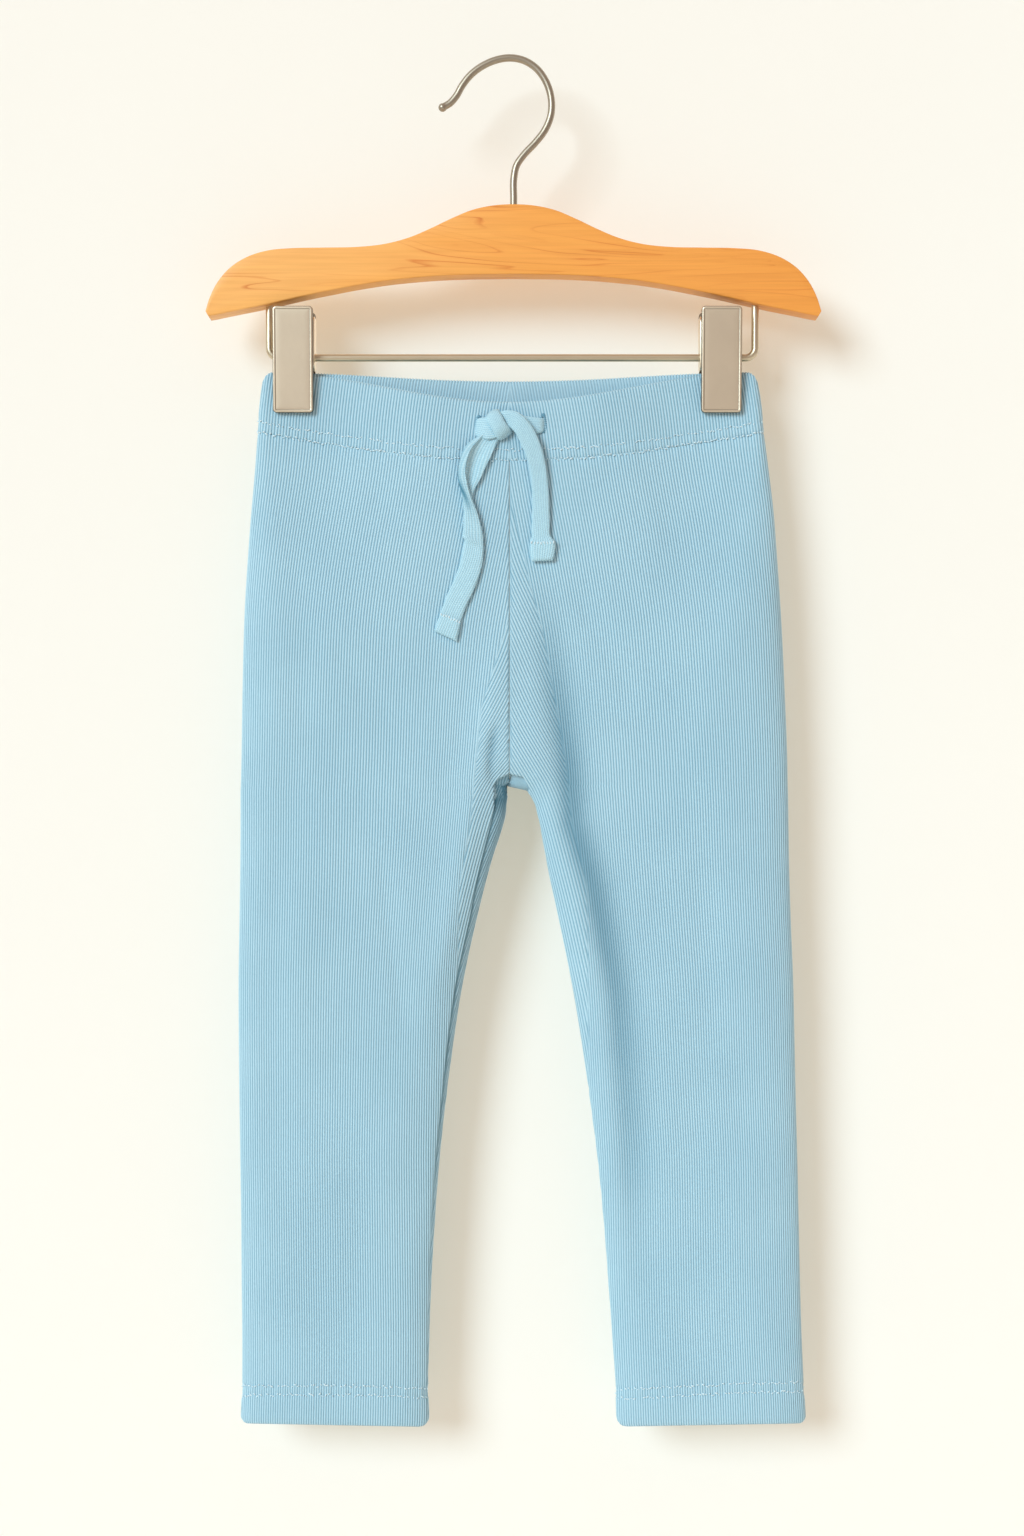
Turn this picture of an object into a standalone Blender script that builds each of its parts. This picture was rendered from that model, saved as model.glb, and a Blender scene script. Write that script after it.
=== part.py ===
"""Toddler's pyjama trousers in fine rib knit, hung by the waistband from a wooden clip hanger.

Metres, +Z up, +X to the viewer's right and -Y towards the viewer. The origin is the inside of
the hook's crown, where the hanger rests on whatever holds it up. Each leg is one piece of cloth
with no side seam: it runs from the centre front seam, round the outer fold, to the centre back
seam, and closes at the inseam below the crotch.
"""

import math
from collections import namedtuple

import bmesh
import bpy
import numpy as np

MM = 0.001
GAP = 0.3 * MM  # between any two pieces

# ---------------------------------------------------------------- hanger sizes
HANGER_X = 2.0 * MM
BAR_THICK = 12.0 * MM
BAR_EDGE = 2.2 * MM
TIP_EASE = 0.35  # at the tips the eased edges take at most this share of the bar's height
WIRE_R = 1.65 * MM
ROD_R = 1.7 * MM
ROD_X = 1.5 * MM
ROD_HALF = 110.9 * MM
ROD_Z = -135.4 * MM
ROD_BEND = 4.5 * MM
ROD_TOP_Z = -103.0 * MM
SHAFT_X = 2.15 * MM
SHAFT_END_Z = -80.0 * MM
HOOK_POINTS = 36
BEND_POINTS = 6
WIRE_ROUNDING = 2
BORE_TOP_Z = -60.0 * MM  # clear of the bar above
BORE_FOOT_Z = -130.0 * MM  # clear of the bar below

# Right half of the bar seen from the front: pairs of points on its upper and lower edge, from
# the middle to the tip, as distance from the middle and height in millimetres.
BarRow = namedtuple("BarRow", "top_x top_z low_x low_z")
BAR_ROWS = [
    BarRow(0.0, -66.4, 0.0, -98.3), BarRow(8.9, -66.9, 8.5, -98.4),
    BarRow(18.5, -68.9, 17.5, -98.5), BarRow(28.5, -73.0, 27.5, -98.8),
    BarRow(38.1, -77.6, 37.0, -99.3), BarRow(47.7, -81.6, 46.5, -100.1),
    BarRow(59.6, -84.6, 57.5, -101.3), BarRow(70.0, -85.7, 67.5, -102.8),
    BarRow(87.0, -86.1, 82.0, -105.5), BarRow(101.6, -86.4, 95.5, -108.3),
    BarRow(111.2, -87.3, 105.5, -110.6), BarRow(121.2, -90.4, 115.5, -112.8),
    BarRow(129.0, -95.4, 124.0, -114.5), BarRow(134.7, -102.1, 130.5, -115.8),
    BarRow(138.1, -108.9, 135.2, -116.8), BarRow(140.0, -115.0, 138.6, -117.4),
]

# Route of the hook wire in the plane of the bar, from inside the bar to the tip: x, z and the
# wire's radius as a share of WIRE_R, in millimetres from the origin.
HOOK_ROUTE = [
    (2.15, -80.0, 1.0), (2.15, -72.0, 1.0), (2.15, -62.0, 1.0), (2.2, -53.5, 1.0),
    (3.4, -47.6, 1.0), (6.8, -42.6, 1.0), (11.7, -37.4, 1.0), (16.4, -31.3, 1.0),
    (19.2, -24.0, 1.0), (19.2, -16.2, 1.0), (16.6, -8.6, 1.0), (11.9, -2.6, 1.0),
    (5.9, 0.8, 1.0), (0.0, 1.65, 1.0), (-6.2, 0.6, 1.0), (-12.4, -2.2, 1.0), (-17.4, -6.0, 1.0),
    (-21.4, -11.0, 1.0), (-24.2, -15.9, 1.0), (-27.2, -19.2, 1.0), (-29.6, -20.6, 1.12),
    (-30.7, -21.1, 0.5),
]

CLIP_W = 18.3 * MM
CLIP_TOP_Z = -113.1 * MM
CLIP_BOTTOM_Z = -161.0 * MM
CLIP_RIM = 2.6 * MM
CLIP_SHEET = 0.9 * MM
CLIP_CORNER = 1.5 * MM
CLIP_LEAN = math.radians(5.0)
CLIP_CENTRES = {"left": -98.1 * MM, "right": 96.5 * MM}
CHEEK_TOP_Z = -116.7 * MM
CHEEK_BOTTOM_Z = -141.0 * MM
CHEEK_DEEP = 11.2 * MM
CHEEK_INNER = 9.0 * MM  # from the clip's middle, on the side of the garment's middle
CHEEK_OUTER = 6.4 * MM
CHEEK_CORNER = 3.0 * MM
CHEEK_BORE_REACH = 20.0 * MM  # each way from the clip's middle

# ---------------------------------------------------------------- trouser sizes
SEAM_X = 0.3 * MM  # centre front and centre back seams
CLOTH = 1.5 * MM  # one layer of rib knit
BAND = 2.4 * MM  # the waistband is two layers
BAND_PROUD = 0.35 * MM
HEM_WALL = 2.6 * MM  # the hem is turned up inside
RIB_PITCH = 1.35 * MM
RIB_RISE = 0.24 * MM  # from the valley between two ribs to the crest of one

BAND_TOP_Z = -141.9 * MM  # at the two ends of the flat waist
BAND_SEAM_Z = -169.2 * MM
FRONT_TOP_DIP = 13.6 * MM
BACK_TOP_DIP = 3.6 * MM
FRONT_SEAM_DIP = 12.8 * MM
BACK_SEAM_DIP = 3.0 * MM
CORNER_R = 5.0 * MM  # rounded upper corners of the flat waistband
CORNER_DROP = 4.0 * MM

CROTCH_Z = -331.0 * MM
HEM_Z = -622.9 * MM
HEM_TOP_Z = -606.0 * MM

PINCH_HALF = 2.75 * MM  # half depth of the waist where the clips close on it
PINCH_FROM = 25.0 * MM  # distance from the outer fold to the clip's inner edge
PINCH_TO = 82.0 * MM
PINCH_TOP_Z = -172.0 * MM
PINCH_END_Z = -262.0 * MM

# Outline of the flat garment from the front, and how far it rounds, in millimetres: height,
# outer fold and inner edge of the leg on the viewer's left, then of the one on the right.
# The inner edge is the centre seam down to the crotch.
OutlineRow = namedtuple("OutlineRow", "z left_outer left_inner right_inner right_outer")
OUTLINE = [
    OutlineRow(-141.9, -112.3, 0.3, 0.3, 113.2),
    OutlineRow(-155.0, -113.6, 0.3, 0.3, 114.9),
    OutlineRow(-169.5, -114.6, 0.3, 0.3, 116.3),
    OutlineRow(-186.6, -115.8, 0.3, 0.3, 118.4),
    OutlineRow(-204.9, -117.4, 0.3, 0.3, 120.6),
    OutlineRow(-223.1, -118.8, 0.3, 0.3, 122.0),
    OutlineRow(-250.6, -120.5, 0.3, 0.3, 123.9),
    OutlineRow(-287.1, -121.5, 0.3, 0.3, 125.7),
    OutlineRow(-323.6, -122.1, 0.3, 0.3, 127.0),
    OutlineRow(-331.0, -122.3, 0.8, 0.8, 127.1),
    OutlineRow(-333.5, -122.4, 0.6, 7.4, 127.2),
    OutlineRow(-337.4, -122.4, -0.1, 11.0, 127.3),
    OutlineRow(-344.2, -122.4, -1.6, 13.1, 127.4),
    OutlineRow(-364.8, -122.5, -7.9, 17.1, 127.7),
    OutlineRow(-392.2, -122.9, -15.0, 22.9, 128.5),
    OutlineRow(-419.6, -123.3, -20.9, 28.4, 129.6),
    OutlineRow(-447.0, -123.2, -25.3, 33.2, 130.2),
    OutlineRow(-474.4, -122.9, -28.9, 37.1, 130.8),
    OutlineRow(-501.8, -122.5, -31.8, 40.6, 131.5),
    OutlineRow(-529.2, -122.1, -33.9, 43.3, 132.1),
    OutlineRow(-556.6, -121.9, -35.5, 45.4, 132.7),
    OutlineRow(-584.0, -121.6, -36.5, 47.4, 133.5),
    OutlineRow(-606.0, -121.7, -37.0, 48.8, 134.5),
    OutlineRow(-622.9, -122.1, -36.7, 49.3, 135.2),
]

# Half depths to the front and to the back, how far in from the outer fold and from the inner
# edge the cloth takes to reach them, and how far forward the middle of it hangs.
DepthRow = namedtuple("DepthRow", "z front back outer_round inner_round forward")
DEPTHS = [
    DepthRow(-141.9, 9.6, 5.2, 3.2, 16.0, 0.0),
    DepthRow(-155.0, 10.2, 5.6, 3.2, 16.0, 0.0),
    DepthRow(-172.0, 10.4, 6.4, 3.6, 16.0, 0.0),
    DepthRow(-205.0, 10.2, 8.2, 12.0, 16.0, 0.2),
    DepthRow(-250.6, 10.0, 9.6, 26.0, 16.0, 0.4),
    DepthRow(-287.1, 9.8, 9.8, 32.0, 16.0, 0.5),
    DepthRow(-331.0, 9.4, 9.4, 34.0, 17.0, 0.6),
    DepthRow(-392.2, 8.8, 8.8, 32.0, 22.0, 0.6),
    DepthRow(-474.4, 8.0, 8.0, 30.0, 26.0, 0.4),
    DepthRow(-556.6, 7.4, 7.4, 30.0, 28.0, 0.2),
    DepthRow(-622.9, 7.4, 7.2, 32.0, 30.0, 0.0),
]

FOLD_FADE_FROM = 0.3  # the soft folds die away towards the edges, between these shares of
FOLD_FADE_TO = 0.9  # the full depth

# Soft folds: the two ends seen from the front, the half width of the trough and how deep it is,
# in millimetres. A ridge has a negative depth. Side is -1 on the front and +1 on the back.
Fold = namedtuple("Fold", "x0 z0 x1 z1 half_width depth side")
FOLDS = [
    Fold(10.0, -215.0, 28.0, -325.0, 11.0, 1.1, -1),
    Fold(28.0, -325.0, 52.0, -475.0, 12.0, 1.3, -1),
    Fold(52.0, -475.0, 66.0, -600.0, 12.0, 0.8, -1),
    Fold(-6.0, -250.0, -16.0, -360.0, 9.0, -0.9, -1),
    Fold(-100.0, -190.0, -94.0, -310.0, 9.0, 0.7, -1),
    Fold(-106.0, -370.0, -98.0, -540.0, 10.0, 0.7, -1),
    Fold(-60.0, -354.0, -46.0, -445.0, 6.0, 0.5, -1),
    Fold(28.0, -240.0, 58.0, -294.0, 8.0, 0.5, -1),
    Fold(14.0, -250.0, 34.0, -400.0, 12.0, 1.1, 1),
    Fold(-12.0, -240.0, -30.0, -410.0, 12.0, 1.0, 1),
    Fold(-98.0, -230.0, -92.0, -420.0, 11.0, 0.7, 1),
    Fold(104.0, -260.0, 108.0, -470.0, 11.0, 0.7, 1),
]

# ---------------------------------------------------------------- drawstring sizes
TAPE_W = 9.4 * MM
TAPE_THICK = 1.6 * MM

# A flat tape's route: x, height of its middle, how far it stands off the front of the cloth and
# how far it is turned about its own run, in millimetres and degrees.
TapePoint = namedtuple("TapePoint", "x z off turn")
RIGHT_TAIL = [
    TapePoint(-1.6, -160.4, 2.3, 8), TapePoint(2.6, -159.8, 3.8, 6),
    TapePoint(6.6, -162.2, 4.8, 4), TapePoint(9.6, -167.6, 4.8, 2),
    TapePoint(11.8, -174.6, 4.1, 0), TapePoint(13.4, -183.0, 3.2, -2),
    TapePoint(14.2, -192.0, 2.6, -2), TapePoint(14.5, -202.0, 2.2, 0),
    TapePoint(14.8, -212.0, 2.0, 0), TapePoint(15.0, -221.0, 2.0, 0),
    TapePoint(15.2, -228.2, 2.0, 0),
]
LEFT_TAIL = [
    TapePoint(14.6, -165.4, 1.6, 0), TapePoint(9.0, -166.4, 1.7, 0),
    TapePoint(3.0, -168.8, 1.8, -4), TapePoint(-3.0, -171.4, 1.8, -6),
    TapePoint(-8.6, -173.8, 2.2, -10), TapePoint(-13.4, -178.0, 3.2, -24),
    TapePoint(-16.6, -183.6, 4.2, -46), TapePoint(-18.0, -190.4, 4.8, -66),
    TapePoint(-17.2, -197.8, 4.8, -74), TapePoint(-15.4, -205.6, 4.2, -54),
    TapePoint(-14.6, -213.6, 3.0, -26), TapePoint(-15.2, -222.0, 2.0, -8),
    TapePoint(-17.4, -231.0, 1.6, 0), TapePoint(-20.6, -240.0, 1.5, 0),
    TapePoint(-24.4, -249.0, 1.5, 0), TapePoint(-28.6, -257.8, 1.5, 0),
    TapePoint(-30.4, -261.4, 1.5, 0),
]
KNOT_WRAP = [
    TapePoint(-14.8, -165.6, 1.6, 0), TapePoint(-11.6, -165.6, 3.6, 0),
    TapePoint(-8.2, -165.0, 4.9, 0), TapePoint(-5.4, -164.0, 5.1, 0),
    TapePoint(-3.4, -163.0, 4.8, 0),
]

# ---------------------------------------------------------------- mesh density
SECTION_SAMPLES = 181  # points of a section between its two edges, before its columns are picked
EDGE_SAMPLES = 240  # points of a leg's inner edge
EDGE_FOOT_Z = HEM_Z - 30.0 * MM  # it runs on past the hem, so that the hem isn't rounded off
SLOPE_STEP = 0.4 * MM
SHARP_ANGLE = math.radians(30.0)
COLUMN_STEP = 0.5 * RIB_PITCH  # outer face: one column on each crest and in each valley
CREST_STEP = 5.0 * MM  # along the waistband's upper fold
INNER_STEP = 15.0 * MM  # plain inner face
FOLD_COLUMNS = [1.5 * MM, 4.0 * MM, 8.0 * MM]  # more columns of both beside the outer fold
EDGE_CLEAR = 0.4  # no column stands nearer to an edge than this share of a step
# Rows of a leg's columns, in millimetres: height at the outer fold, and how much lower the row
# hangs at the middle of the garment. The hem rows are on the inner face only.
LegRow = namedtuple("LegRow", "level drop")
LEG_ROWS = [
    LegRow(-262.0, 48.0), LegRow(-331.0, 0.0), LegRow(-338.0, 0.0), LegRow(-358.0, 0.0),
    LegRow(-420.0, 0.0), LegRow(-500.0, 0.0), LegRow(-622.9, 0.0),
]
HEM_INSIDE_ROWS = [LegRow(-603.5, 0.0), LegRow(-606.0, 0.0)]
BAND_CREST_FROM = 0.9  # share of the band's height where its rounded upper edge starts
TAPE_SECTIONS = {"drawstring_left": 24, "drawstring_right": 15, "drawstring_knot": 7}
# A tape's section: shares of its half width and of its half thickness.
TAPE_PROFILE = [(-1.0, 0.0), (-0.86, 1.0), (0.0, 1.0), (0.86, 1.0),
                (1.0, 0.0), (0.86, -1.0), (0.0, -1.0), (-0.86, -1.0)]


# ---------------------------------------------------------------- curves and tables
def smooth_curve(keys, values, at):
    """Values at `at` on a smooth curve through the rows of a table, keys rising."""
    keys, values, at = (np.asarray(a, float) for a in (keys, values, at))
    slopes = np.gradient(values, keys)
    i = np.clip(np.searchsorted(keys, at) - 1, 0, len(keys) - 2)
    span = keys[i + 1] - keys[i]
    t = np.clip((at - keys[i]) / span, 0.0, 1.0)
    return (
        values[i] * (1 + 2 * t) * (1 - t) ** 2
        + values[i + 1] * t * t * (3 - 2 * t)
        + slopes[i] * span * t * (1 - t) ** 2
        - slopes[i + 1] * span * t * t * (1 - t)
    )


def column(table, name, z):
    """One named column of a table in millimetres, at the height z in metres."""
    rows = table[::-1]
    keys = [row.z for row in rows]
    return MM * smooth_curve(keys, [getattr(row, name) for row in rows], np.asarray(z) / MM)


def smoothstep(t):
    t = np.clip(t, 0.0, 1.0)
    return t * t * (3 - 2 * t)


def rounding(q):
    """Square of a quarter circle's height: 0 at the edge, 1 from q = 1 inwards."""
    q = np.minimum(q, 1.0)
    return q * (2 - q)


# ---------------------------------------------------------------- form of the cloth
FRONT, BACK = -1, 1  # the way a face of the cloth looks along Y


def edge_samples(side):
    """Points along the inner edge of one leg, from the crotch down, closer near the crotch."""
    share = np.linspace(0.0, 1.0, EDGE_SAMPLES)
    z = CROTCH_Z + (EDGE_FOOT_Z - CROTCH_Z) * share**1.5
    return column(OUTLINE, side + "_inner", np.maximum(z, HEM_Z)), z


EDGES = {side: edge_samples(side) for side in ("left", "right")}


def inner_distance(side, x, z):
    """How far a point seen from the front lies inside the leg's inner edge."""
    edge_x, edge_z = EDGES[side]
    apart = np.hypot(np.subtract.outer(x, edge_x), np.subtract.outer(z, edge_z)).min(axis=-1)
    beyond = (x - column(OUTLINE, side + "_inner", z)) * (1 if side == "left" else -1)
    return np.where((z < CROTCH_Z) & (beyond > 0), -apart, apart)


def roundness(side, x, z):
    """Square of the cloth's share of its full depth, over the view from the front."""
    toward = 1 if side == "left" else -1
    outer = (x - column(OUTLINE, side + "_outer", z)) * toward
    from_outer = rounding(outer / column(DEPTHS, "outer_round", z))
    from_inner = rounding(inner_distance(side, x, z) / column(DEPTHS, "inner_round", z))
    return from_outer * from_inner


def full_depth(side, x, z, facing):
    """Half depth of the cloth where nothing rounds it off."""
    depth = column(DEPTHS, "front" if facing == FRONT else "back", z)
    outer = np.abs(x - column(OUTLINE, side + "_outer", z))
    pinch = smoothstep((z - PINCH_END_Z) / (PINCH_TOP_Z - PINCH_END_Z))
    pinch = pinch * (1 - smoothstep((outer - PINCH_FROM) / (PINCH_TO - PINCH_FROM)))
    return depth + (PINCH_HALF - depth) * pinch


def fold_offset(x, z, facing):
    """How far the soft folds draw the cloth in, over the view from the front."""
    inward = np.zeros(np.broadcast(x, z).shape)
    for fold in FOLDS:
        if fold.side != facing:
            continue
        run = np.array([fold.x1 - fold.x0, fold.z1 - fold.z0]) * MM
        length = np.hypot(*run)
        along = ((x - fold.x0 * MM) * run[0] + (z - fold.z0 * MM) * run[1]) / length
        across = ((x - fold.x0 * MM) * run[1] - (z - fold.z0 * MM) * run[0]) / length
        ends = smoothstep(0.5 + 2 * along / length) * smoothstep(2.5 - 2 * along / length)
        inward += fold.depth * MM * ends * np.exp(-((across / (fold.half_width * MM)) ** 2))
    return inward


def cloth_point(side, x, z, facing):
    """Outer face of the cloth at a place seen from the front, and its outward normal."""
    share = roundness(side, x, z)
    depth = full_depth(side, x, z, facing)
    rise = np.sqrt(np.maximum(share, 0.0))
    calm = smoothstep((rise - FOLD_FADE_FROM) / (FOLD_FADE_TO - FOLD_FADE_FROM))
    folded = depth - fold_offset(x, z, facing) * calm
    y = facing * folded * rise - column(DEPTHS, "forward", z)
    step = SLOPE_STEP
    slope_x = (roundness(side, x + step, z) - roundness(side, x - step, z)) / (2 * step)
    slope_z = (roundness(side, x, z + step) - roundness(side, x, z - step)) / (2 * step)
    normal = np.stack([-slope_x, 2 * facing * rise / depth, -slope_z], axis=-1)
    normal /= np.linalg.norm(normal, axis=-1, keepdims=True)
    return np.stack([x, y, z], axis=-1), normal


def middle_share(side, x, level):
    """Share of the way from the outer fold to the middle of the garment."""
    outer = column(OUTLINE, side + "_outer", level)
    return np.clip((x - outer) / (SEAM_X - outer), 0.0, 1.0)


def seam_height(side, x, facing):
    """Height of the waist seam, which hangs lower at the middle than at its ends."""
    dip = FRONT_SEAM_DIP if facing == FRONT else BACK_SEAM_DIP
    return BAND_SEAM_Z - dip * np.sin(0.5 * math.pi * middle_share(side, x, BAND_SEAM_Z))


def band_top_height(side, x, facing):
    """Height of the waistband's upper edge, which dips at the middle and rounds off its ends."""
    dip = FRONT_TOP_DIP if facing == FRONT else BACK_TOP_DIP
    outer = column(OUTLINE, side + "_outer", BAND_TOP_Z)
    corner = np.clip(1 - np.abs(x - outer) / CORNER_R, 0.0, 1.0)
    middle = 0.5 * (1 - np.cos(math.pi * middle_share(side, x, BAND_TOP_Z)))
    return BAND_TOP_Z - dip * middle - CORNER_DROP * (1 - np.sqrt(1 - corner**2))


def band_height(side, x, share, facing):
    """Height of a row of the waistband: share 0 is its lower edge and 1 its upper edge."""
    low = seam_height(side, x, facing)
    return low + (band_top_height(side, x, facing) - low) * share


def row_height(side, x, row, facing):
    """Height of a leg's row of points, in metres: the first row follows the waist seam."""
    level = row.level * MM
    if level > BAND_SEAM_Z - 2 * GAP:
        return level + seam_height(side, x, facing) - BAND_SEAM_Z
    return level - row.drop * MM * smoothstep(middle_share(side, x, level))


# ---------------------------------------------------------------- sections round the cloth
Section = namedtuple("Section", "points normals girths")


def section_round(side, outer, inner, height):
    """Closely spaced points and normals round one side of the garment, with their girths.

    Girth is measured along the cloth from the outer fold, plus over the front and minus over
    the back. The run starts at the back edge and ends at the front edge.
    """
    turn = np.linspace(0.0, math.pi, SECTION_SAMPLES)
    x = 0.5 * (outer + inner) + 0.5 * (outer - inner) * np.cos(turn)
    halves = {}
    for facing in (FRONT, BACK):
        points, normals = cloth_point(side, x, height(x, facing), facing)
        steps = np.linalg.norm(np.diff(points[:, :2], axis=0), axis=1)
        halves[facing] = (points, normals, np.concatenate([[0.0], np.cumsum(steps)]))
    (front, front_normals, front_girths), (back, back_normals, back_girths) = halves.values()
    return Section(
        np.concatenate([back[::-1], front[1:]]),
        np.concatenate([back_normals[::-1], front_normals[1:]]),
        np.concatenate([-back_girths[::-1], front_girths[1:]]),
    )


def leg_section(side, row):
    """Section of one leg: open at the centre seams above the crotch, closed below it."""
    level = row.level * MM
    outer = column(OUTLINE, side + "_outer", level)
    inner = SEAM_X + (-0.5 * GAP if side == "left" else 0.5 * GAP)
    if level <= CROTCH_Z:
        edge = column(OUTLINE, side + "_inner", level)
        inner = min(edge, inner) if side == "left" else max(edge, inner)
    return section_round(side, outer, inner, lambda x, facing: row_height(side, x, row, facing))


def band_section(side, share):
    """Section of one half of the waistband, from centre back to centre front."""
    outer = column(OUTLINE, side + "_outer", BAND_SEAM_Z + (BAND_TOP_Z - BAND_SEAM_Z) * share)
    return section_round(side, outer, SEAM_X, lambda x, facing: band_height(side, x, share, facing))


# ---------------------------------------------------------------- mesh building
class Shell:
    """Points and triangles of one closed cloth wall."""

    def __init__(self):
        self.points = []
        self.faces = []

    def add(self, points):
        first = len(self.points)
        self.points.extend(np.asarray(points).tolist())
        return list(range(first, first + len(points)))

    def bridge(self, row_a, keys_a, row_b, keys_b, flip=False):
        """Triangles between two rows of points, matched by their keys, which rise."""
        i = j = 0
        while i < len(row_a) - 1 or j < len(row_b) - 1:
            can_i = i < len(row_a) - 1
            can_j = j < len(row_b) - 1
            if can_i and (not can_j or keys_a[i + 1] <= keys_b[j + 1]):
                face = (row_a[i], row_b[j], row_a[i + 1])
                i += 1
            else:
                face = (row_a[i], row_b[j], row_b[j + 1])
                j += 1
            if len(set(face)) == 3:
                self.faces.append(face[::-1] if flip else face)

    def loft(self, sections):
        """A closed run of rings of equally many points, capped at both ends."""
        rings = [self.add(section) for section in sections]
        keys = list(range(len(rings[0]) + 1))
        for ring_a, ring_b in zip(rings, rings[1:]):
            self.bridge(ring_a + ring_a[:1], keys, ring_b + ring_b[:1], keys)
        self.faces.append(tuple(rings[0]))
        self.faces.append(tuple(reversed(rings[-1])))

    def mesh_object(self, name):
        mesh = bpy.data.meshes.new(name)
        mesh.from_pydata(self.points, [], self.faces)
        mesh.validate()
        shape = bmesh.new()
        shape.from_mesh(mesh)
        bmesh.ops.recalc_face_normals(shape, faces=shape.faces)
        shape.to_mesh(mesh)
        shape.free()
        mesh.shade_smooth()
        mesh.set_sharp_from_angle(angle=SHARP_ANGLE)
        obj = bpy.data.objects.new(name, mesh)
        bpy.context.scene.collection.objects.link(obj)
        return obj


def column_girths(section, step, near_fold=()):
    """Girths of the points of one row: whole steps from the outer fold, then the two edges."""
    low, high = section.girths[0], section.girths[-1]
    first = math.ceil(low / step + EDGE_CLEAR)
    last = math.floor(high / step - EDGE_CLEAR)
    near = np.asarray(near_fold)
    inside = np.sort(np.concatenate([np.arange(first, last + 1) * step, near, -near]))
    return np.concatenate([[low], inside, [high]])


def sample_row(section, girths):
    """Points and normals of a section at some girths."""
    at = [np.interp(girths, section.girths, section.points[:, i]) for i in range(3)]
    facing = [np.interp(girths, section.girths, section.normals[:, i]) for i in range(3)]
    facing = np.stack(facing, axis=1)
    return np.stack(at, axis=1), facing / np.linalg.norm(facing, axis=1, keepdims=True)


def level_normals(normals):
    """Normals turned level, so that a rim keeps its height across the wall."""
    flat = normals * (1.0, 1.0, 0.0)
    return flat / np.linalg.norm(flat, axis=1, keepdims=True)


def rib_rise(girths):
    """How far the outer face stands out: up on the crests, down in the valleys, level at edges."""
    rise = 0.5 * RIB_RISE * np.cos(2 * math.pi * girths / RIB_PITCH)
    rise[[0, -1]] = 0.0
    return rise


def leg_row(shell, side, row, inset, rim):
    """One row of points round a leg. A closed row ends on the point that it starts with.

    Without an inset it is on the ribbed outer face, with one on the plain inner face.
    """
    section = leg_section(side, row)
    if inset:
        girths = column_girths(section, INNER_STEP, FOLD_COLUMNS)
    else:
        girths = column_girths(section, COLUMN_STEP)
    points, normals = sample_row(section, girths)
    if rim:
        normals = level_normals(normals)
    closed = row.level * MM <= CROTCH_Z
    if closed:
        middle = normals[0] + normals[-1]
        normals[0] = normals[-1] = middle / np.linalg.norm(middle)
    else:
        normals[0, 0] = normals[-1, 0] = 0.0
    offset = -inset if inset else rib_rise(girths)[:, None]
    points = points + normals * offset
    made = shell.add(points[:-1] if closed else points)
    return (made + made[:1] if closed else made), girths


def leg_face(shell, side, rows, inside):
    """All rows of the outer or of the inner face of one leg, joined to each other."""
    made = []
    for row in rows:
        inset = 0.0
        if inside:
            inset = HEM_WALL if row.level * MM <= HEM_TOP_Z else CLOTH
        made.append(leg_row(shell, side, row, inset, rim=row in (rows[0], rows[-1])))
    for (row_a, keys_a), (row_b, keys_b) in zip(made, made[1:]):
        shell.bridge(row_a, keys_a, row_b, keys_b, flip=inside)
    return made


def leg(side):
    """One leg: a wall from the waist seam to the hem, doubled inside the hem."""
    shell = Shell()
    outer_rows = [LegRow((BAND_SEAM_Z - GAP) / MM, 0.0)] + LEG_ROWS
    inner_rows = sorted(outer_rows + HEM_INSIDE_ROWS, reverse=True)
    outer = leg_face(shell, side, outer_rows, inside=False)
    inner = leg_face(shell, side, inner_rows, inside=True)
    shell.bridge(*inner[0], *outer[0])
    shell.bridge(*outer[-1], *inner[-1])
    open_rows = sum(row.level * MM > CROTCH_Z for row in outer_rows) + 1
    keys = list(range(open_rows))
    for end, flip in ((0, False), (-1, True)):
        outer_edge = [row[end] for row, _ in outer[:open_rows]]
        inner_edge = [row[end] for row, _ in inner[:open_rows]]
        shell.bridge(inner_edge, keys, outer_edge, keys, flip=flip)
    return shell.mesh_object("leg_" + side)


def band_ring(shell, share, inset=0.0, step=COLUMN_STEP, near_fold=()):
    """One closed row round the waistband, from centre back over the left fold and back again.

    Without an inset it is on the ribbed outer face.
    """
    rows, keys = [], []
    for side in ("left", "right"):
        section = band_section(side, share)
        girths = column_girths(section, step, near_fold)
        points, normals = sample_row(section, girths)
        offset = BAND_PROUD - inset if inset else BAND_PROUD + rib_rise(girths)[:, None]
        rows.append(points + level_normals(normals) * offset)
        keys.append(girths)
    left = shell.add(rows[0])
    right = [left[-1]] + shell.add(rows[1][::-1][1:-1]) + [left[0]]
    return left, keys[0], right, -keys[1][::-1]


def waistband():
    """The folded top casing: a ring whose upper edge is a rounded fold."""
    shell = Shell()
    rings = [
        band_ring(shell, 0.0),
        band_ring(shell, BAND_CREST_FROM),
        band_ring(shell, 1.0, 0.5 * BAND, CREST_STEP, FOLD_COLUMNS),
        band_ring(shell, BAND_CREST_FROM, BAND, INNER_STEP, FOLD_COLUMNS),
        band_ring(shell, 0.0, BAND, INNER_STEP, FOLD_COLUMNS),
    ]
    for ring_a, ring_b in zip(rings, rings[1:] + rings[:1]):
        shell.bridge(*ring_a[:2], *ring_b[:2])
        shell.bridge(*ring_a[2:], *ring_b[2:])
    return shell.mesh_object("waistband")


# ---------------------------------------------------------------- drawstring
def spline_points(route, count):
    """Evenly spaced points on a smooth curve through a route's own points."""
    route = np.asarray(route, float)
    steps = np.linalg.norm(np.diff(route[:, :2], axis=0), axis=1)
    along = np.concatenate([[0.0], np.cumsum(steps)])
    at = np.linspace(0.0, along[-1], count)
    return np.stack([smooth_curve(along, values, at) for values in route.T], axis=1)


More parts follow.
